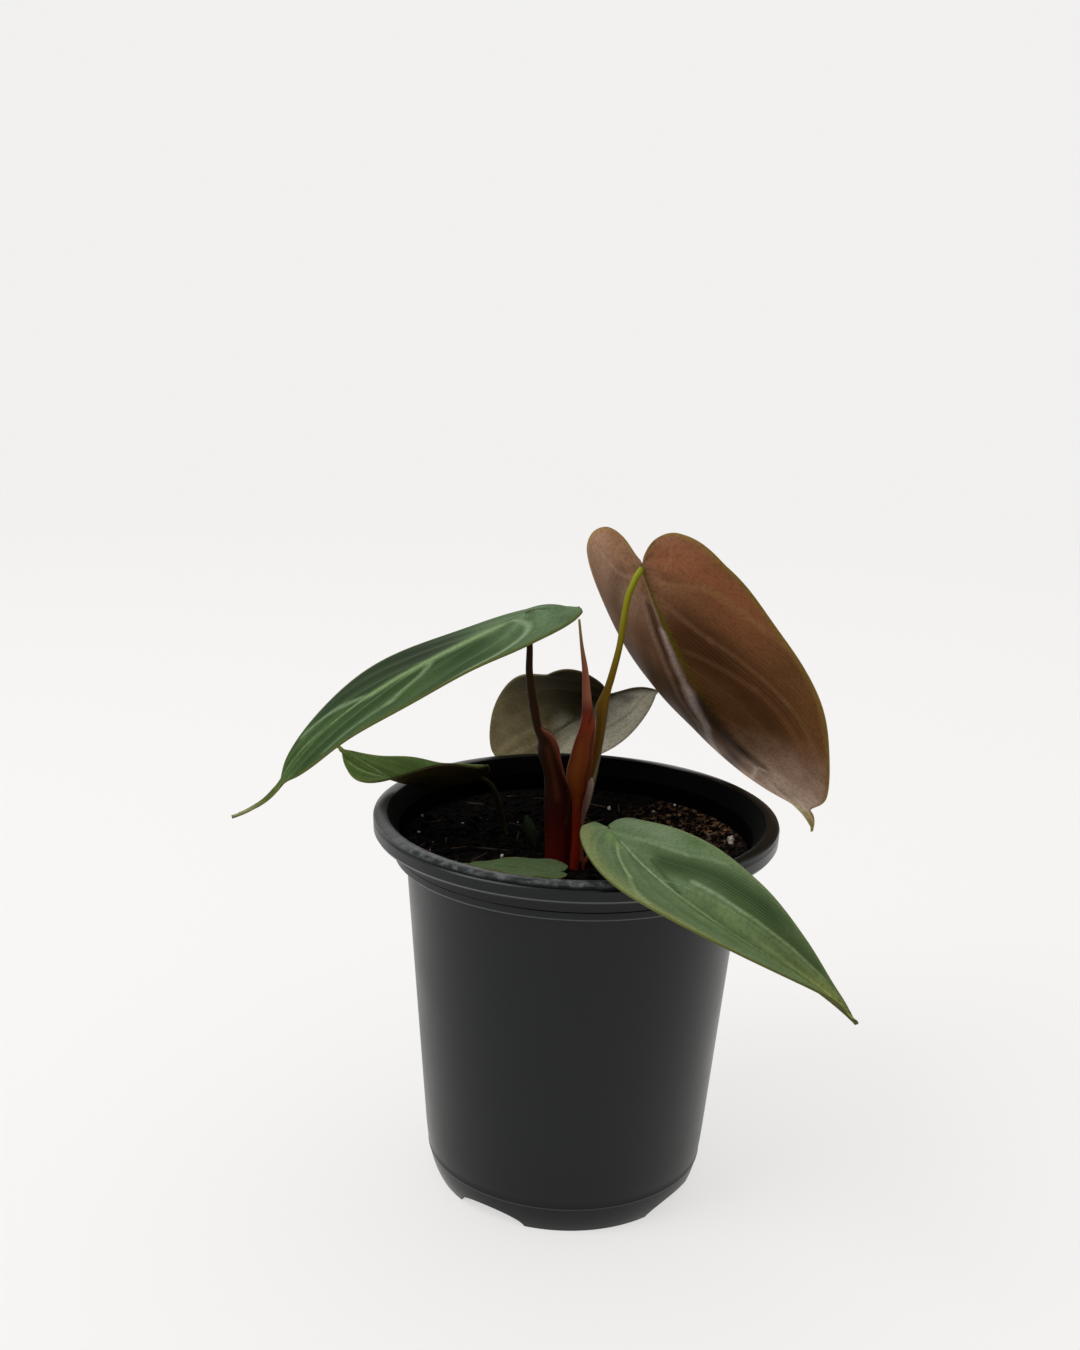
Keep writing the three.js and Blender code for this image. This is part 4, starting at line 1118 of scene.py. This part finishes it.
dark_stalk = stalk_material(
    "stalk_dark_red",
    [(0.0, (104, 16, 12)), (0.2, (76, 14, 6)), (0.35, (58, 20, 6)),
     (0.5, (58, 28, 10)), (0.62, (56, 32, 10)), (0.75, (54, 32, 8)),
     (1.0, (42, 28, 10))],
    (34, 12, 5), strokes=[
        # Painted shade down the left side of the sheath.
        (-45, 56, -42, 24, 26, 75, (30, 12, 4)),
        (0, 50, 0, 34, 14, 50, (104, 54, 28)),
        # Painted light on the sheath's right side, with a pale painted highlight line.
        (27, 56, 42, 40, 20, 85, (142, 72, 50)),
        (33, 57.5, 56, 42, 7, 70, (206, 140, 120), -3),
        (42, 38, 20, 24, 9, 55, (90, 62, 28)),
    ])
add_stalk(
    "stalk_of_upper_left", "stalk_upper_left", dark_stalk,
    [(-4.6, -6.2, 86, 3.1), (-4.6, -6.2, 90.2, 3.2), (-4.6, -6.2, 97, 3.5),
     (-4.8, -6.2, 102.5, 3.6), (-5.1, -6.2, 108, 3.65), (-5.8, -6.2, 112.6, 3.0),
     (-6.4, -6.3, 115.4, 2.65), (-7.4, -6.5, 119, 2.75), (-8.1, -6.6, 122, 2.8),
     (-8.8, -6.6, 124.4, 2.2), (-10.7, -6.7, 127, 1.15), (-12, -7, 132.3, 1.15),
     (-13.5, -7.2, 141.6, 0.95), (-13.7, -7.3, 149.5, 0.8), (-14.7, -7.3, 156.6, 0.75)])

olive_stalk = stalk_material(
    "stalk_olive",
    [(0.0, (96, 44, 16)), (0.3, (112, 66, 16)), (0.5, (118, 86, 24)),
     (0.6, (122, 92, 14)), (0.78, (132, 120, 16)), (1.0, (150, 156, 38))],
    (76, 48, 8), strokes=[
        (-42, 66, -42, 92, 14, 60, (84, 78, 6)),
    ])
add_stalk(
    "stalk_of_upper_right", "stalk_upper_right", olive_stalk,
    [(-1, -2.5, 86, 1.3), (-1, -2.5, 90.2, 1.35), (-0.4, -2.7, 101, 1.4),
     (1.2, -2.8, 108, 1.4), (3.2, -2.5, 116, 1.4), (5, -2, 123, 1.1), (5.4, -1.2, 128, 1.3),
     (5.6, 0.2, 131.5, 1.6), (6.9, 2.4, 135.5, 1.05), (8, 4.2, 139, 0.95),
     (9.8, 6.6, 146.5, 0.85), (10.7, 8.2, 153.5, 0.9), (11.7, 9.4, 159.5, 0.9),
     (13.3, 10.4, 163.6, 0.9), (15.0, 11.9, 166.3, 0.9)])

green_stalk = stalk_material(
    "stalk_grey_green",
    [(0.0, (112, 88, 62)), (0.4, (122, 116, 80)), (1.0, (128, 134, 92))],
    (70, 72, 44))
add_stalk(
    "stalk_of_back", "stalk_back", green_stalk,
    [(-4.1, -1.3, 86, 1.15), (-4.1, -1.3, 90.2, 1.2), (-1.6, 0.6, 95.5, 1.2),
     (2.2, 6, 101.5, 1.15), (4.7, 14, 107.5, 0.8), (6.8, 27, 114.4, 0.75),
     (8.1, 37.6, 120.1, 0.85), (8.5, 42.6, 122.7, 0.85)])
# Painted shade: the left leaf's thin stalk stands in shadow and is coloured darker to match.
shaded_stalk = stalk_material(
    "stalk_green_painted_shade", [(0.0, (30, 24, 14)), (1.0, (56, 54, 26))], (14, 12, 6))
add_stalk(
    "stalk_of_left", "stalk_left", shaded_stalk,
    [(-9.6, -0.4, 83.5, 1), (-11.4, 2.6, 84, 1), (-15, 9, 86, 0.95), (-18, 14.6, 89.2, 0.9),
     (-19.3, 16.3, 92.5, 0.85), (-20.4, 16.2, 97, 0.8), (-22, 15.9, 102, 0.75),
     (-23.6, 15.7, 104.6, 0.7), (-26.3, 15.6, 106.3, 0.65)])
# Painted shade: the sprout sits in shadow beside the stalks and is coloured darker to match.
bud_painted_shade = stalk_material(
    "bud_painted_shade", [(0.0, (24, 26, 14)), (1.0, (40, 54, 30))], (16, 22, 10))
red_stalk = stalk_material(
    "stalk_red_brown",
    [(0.0, (104, 40, 24)), (0.5, (110, 62, 34)), (1.0, (116, 116, 60))],
    (60, 20, 12))
add_stalk(
    "stalk_of_front", "stalk_front", red_stalk,
    [(2.6, -8.3, 86, 1), (2.7, -8.6, 90.4, 1.05), (3.4, -12.2, 94, 1.05),
     (4.8, -17.6, 99.4, 1), (6.3, -22.8, 103.9, 0.95), (7.6, -26.5, 106.9, 0.9)])
add_stalk(
    "stalk_of_small", "stalk_small", green_stalk,
    [(-5.2, -10.8, 87, 0.7), (-5.2, -11.1, 90, 0.7), (-5, -13.4, 91.6, 0.65),
     (-4.7, -16, 92.1, 0.6), (-4.6, -18.1, 92.4, 0.5)])
add_stalk(
    "leaf_of_sprout", "leaf_sprout", bud_painted_shade,
    [(-9.3, 2.2, 86.6, 0.5), (-9.8, 3.8, 88.6, 0.5), (-10.6, 5.4, 90.6, 0.6),
     (-11.2, 6.5, 92.2, 1.3), (-11.9, 7.7, 94.2, 1.6), (-12.7, 8.9, 96.2, 1.1),
     (-13.4, 9.8, 97.8, 0.3)],
    slot="leaf")


# Sheaths: the stalks' thin winged feet, which wrap the next leaf while it grows. The new leaf is
# still rolled up inside the long pointed one; a dry pale scale stands beside it.
sheath_orange = stalk_material(
    "sheath_orange",
    [(0.0, (116, 16, 8)), (0.25, (122, 32, 8)), (0.42, (120, 56, 16)),
     (0.56, (124, 58, 26)), (0.63, (146, 54, 32)), (0.66, (126, 54, 36)),
     (0.71, (172, 106, 80)), (0.8, (170, 98, 74)), (0.9, (148, 118, 72)),
     (1.0, (146, 134, 76))],
    (92, 30, 8), strokes=[
        (-10, 52, -2, 34, 20, 50, (144, 76, 20)),
        (25, 58, 24, 30, 10, 65, (64, 22, 8)),
        (-30, 60, -34, 46, 10, 50, (118, 38, 18)),
        (-42, 63, -46, 40, 6, 70, (218, 176, 158)),
        (5, 62, 30, 65.5, 8, 60, (84, 26, 18)),
    ])
add_stalk(
    "sheath_of_new_leaf", "sheath_new_leaf", sheath_orange,
    [(-0.2, -9.2, 86, 1.3), (-0.2, -9.2, 90.2, 1.3), (0, -9.3, 97, 1.15),
     (-0.1, -9.4, 103, 1.1), (0, -9.5, 109, 1.55), (0, -9.6, 112.5, 2.4), (-0.2, -9.6, 116, 3.0),
     (0.5, -9.5, 120, 3.0), (1, -9.3, 124, 2.6), (1.7, -8.9, 128, 2.15), (1.7, -8.6, 131.5, 1.55),
     (1.3, -8.1, 136.2, 1.2), (0.6, -7.9, 143.3, 0.8), (-0.5, -7.7, 149.7, 0.45),
     (-1.4, -7.5, 156.3, 0.3)],
    slot="sheath", flatten=0.8)
scale_pale = stalk_material(
    "scale_pale",
    [(0.0, (120, 50, 34)), (0.5, (140, 80, 62)), (1.0, (214, 190, 176))],
    (110, 60, 48))
add_stalk(
    "scale_beside", "scale_side", scale_pale,
    [(1.7, -5.4, 86, 0.65), (1.7, -5.4, 90.2, 0.65), (1.5, -5.7, 101.5, 0.5),
     (2.4, -6.2, 107.5, 0.85), (3.2, -6, 112, 0.85), (3.6, -5.9, 114, 0.3)],
    slot="sheath", flatten=0.5)


# Studio: a pale floor that fades into a pale surround, and one broad soft light high at the left.
# The side towards the camera is dim, as a room behind a photographer is, which keeps the middle
# of the pot dark between its two bright edges.
bpy.ops.mesh.primitive_circle_add(vertices=96, radius=1.6, fill_type="NGON", location=(0, 0, 0))
floor = bpy.context.object
floor.name = "floor"
settle(floor)
floor_paint, tree, place, _ = new_material("floor_paint")
far = vector_node(tree, "LENGTH", place, output="Value")
link(tree, "Alpha", smooth_step(tree, far, 0.3, 1.5, 1.0, 0.0))
set_values(tree, {"Base Color": (0.25, 0.25, 0.25, 1), "Roughness": 0.9,
                  "Emission Color": (1.0, 0.98, 0.965, 1), "Emission Strength": 0.64})
floor.data.materials.append(floor_paint)

world = bpy.data.worlds.new("surround")
world.use_nodes = True
bpy.context.scene.world = world
tree = world.node_tree
backdrop = tree.nodes["Background"]
backdrop.inputs["Color"].default_value = (0.885, 0.876, 0.866, 1)
direction = node(tree, "SeparateXYZ", {0: node(tree, "TexCoord").outputs["Generated"]}).outputs
behind = smooth_step(tree, direction[1], -0.6, 0.5, 0.05, 1.25)
above = smooth_step(tree, direction[2], 0.35, 0.9, 0.0, 1.1)
room = math_node(tree, "MAXIMUM", behind, above)
seen = node(tree, "LightPath").outputs["Is Camera Ray"]
strength = math_node(tree, "MAXIMUM", seen, room)
most = math_node(tree, "MULTIPLY_ADD", seen, -2.0, 3.0)
strength = math_node(tree, "MINIMUM", strength, most)
tree.links.new(strength, backdrop.inputs["Strength"])

lamp_data = bpy.data.lights.new("light_left", "AREA")
lamp_data.shape = "DISK"
lamp_data.size = 0.9
lamp_data.energy = 9
lamp = bpy.data.objects.new("light_left", lamp_data)
bpy.context.scene.collection.objects.link(lamp)
lamp.location = (-0.9, -0.5, 1.1)
lamp.rotation_euler = (Vector((0, 0, 0.1)) - lamp.location).to_track_quat("-Z", "Y").to_euler()
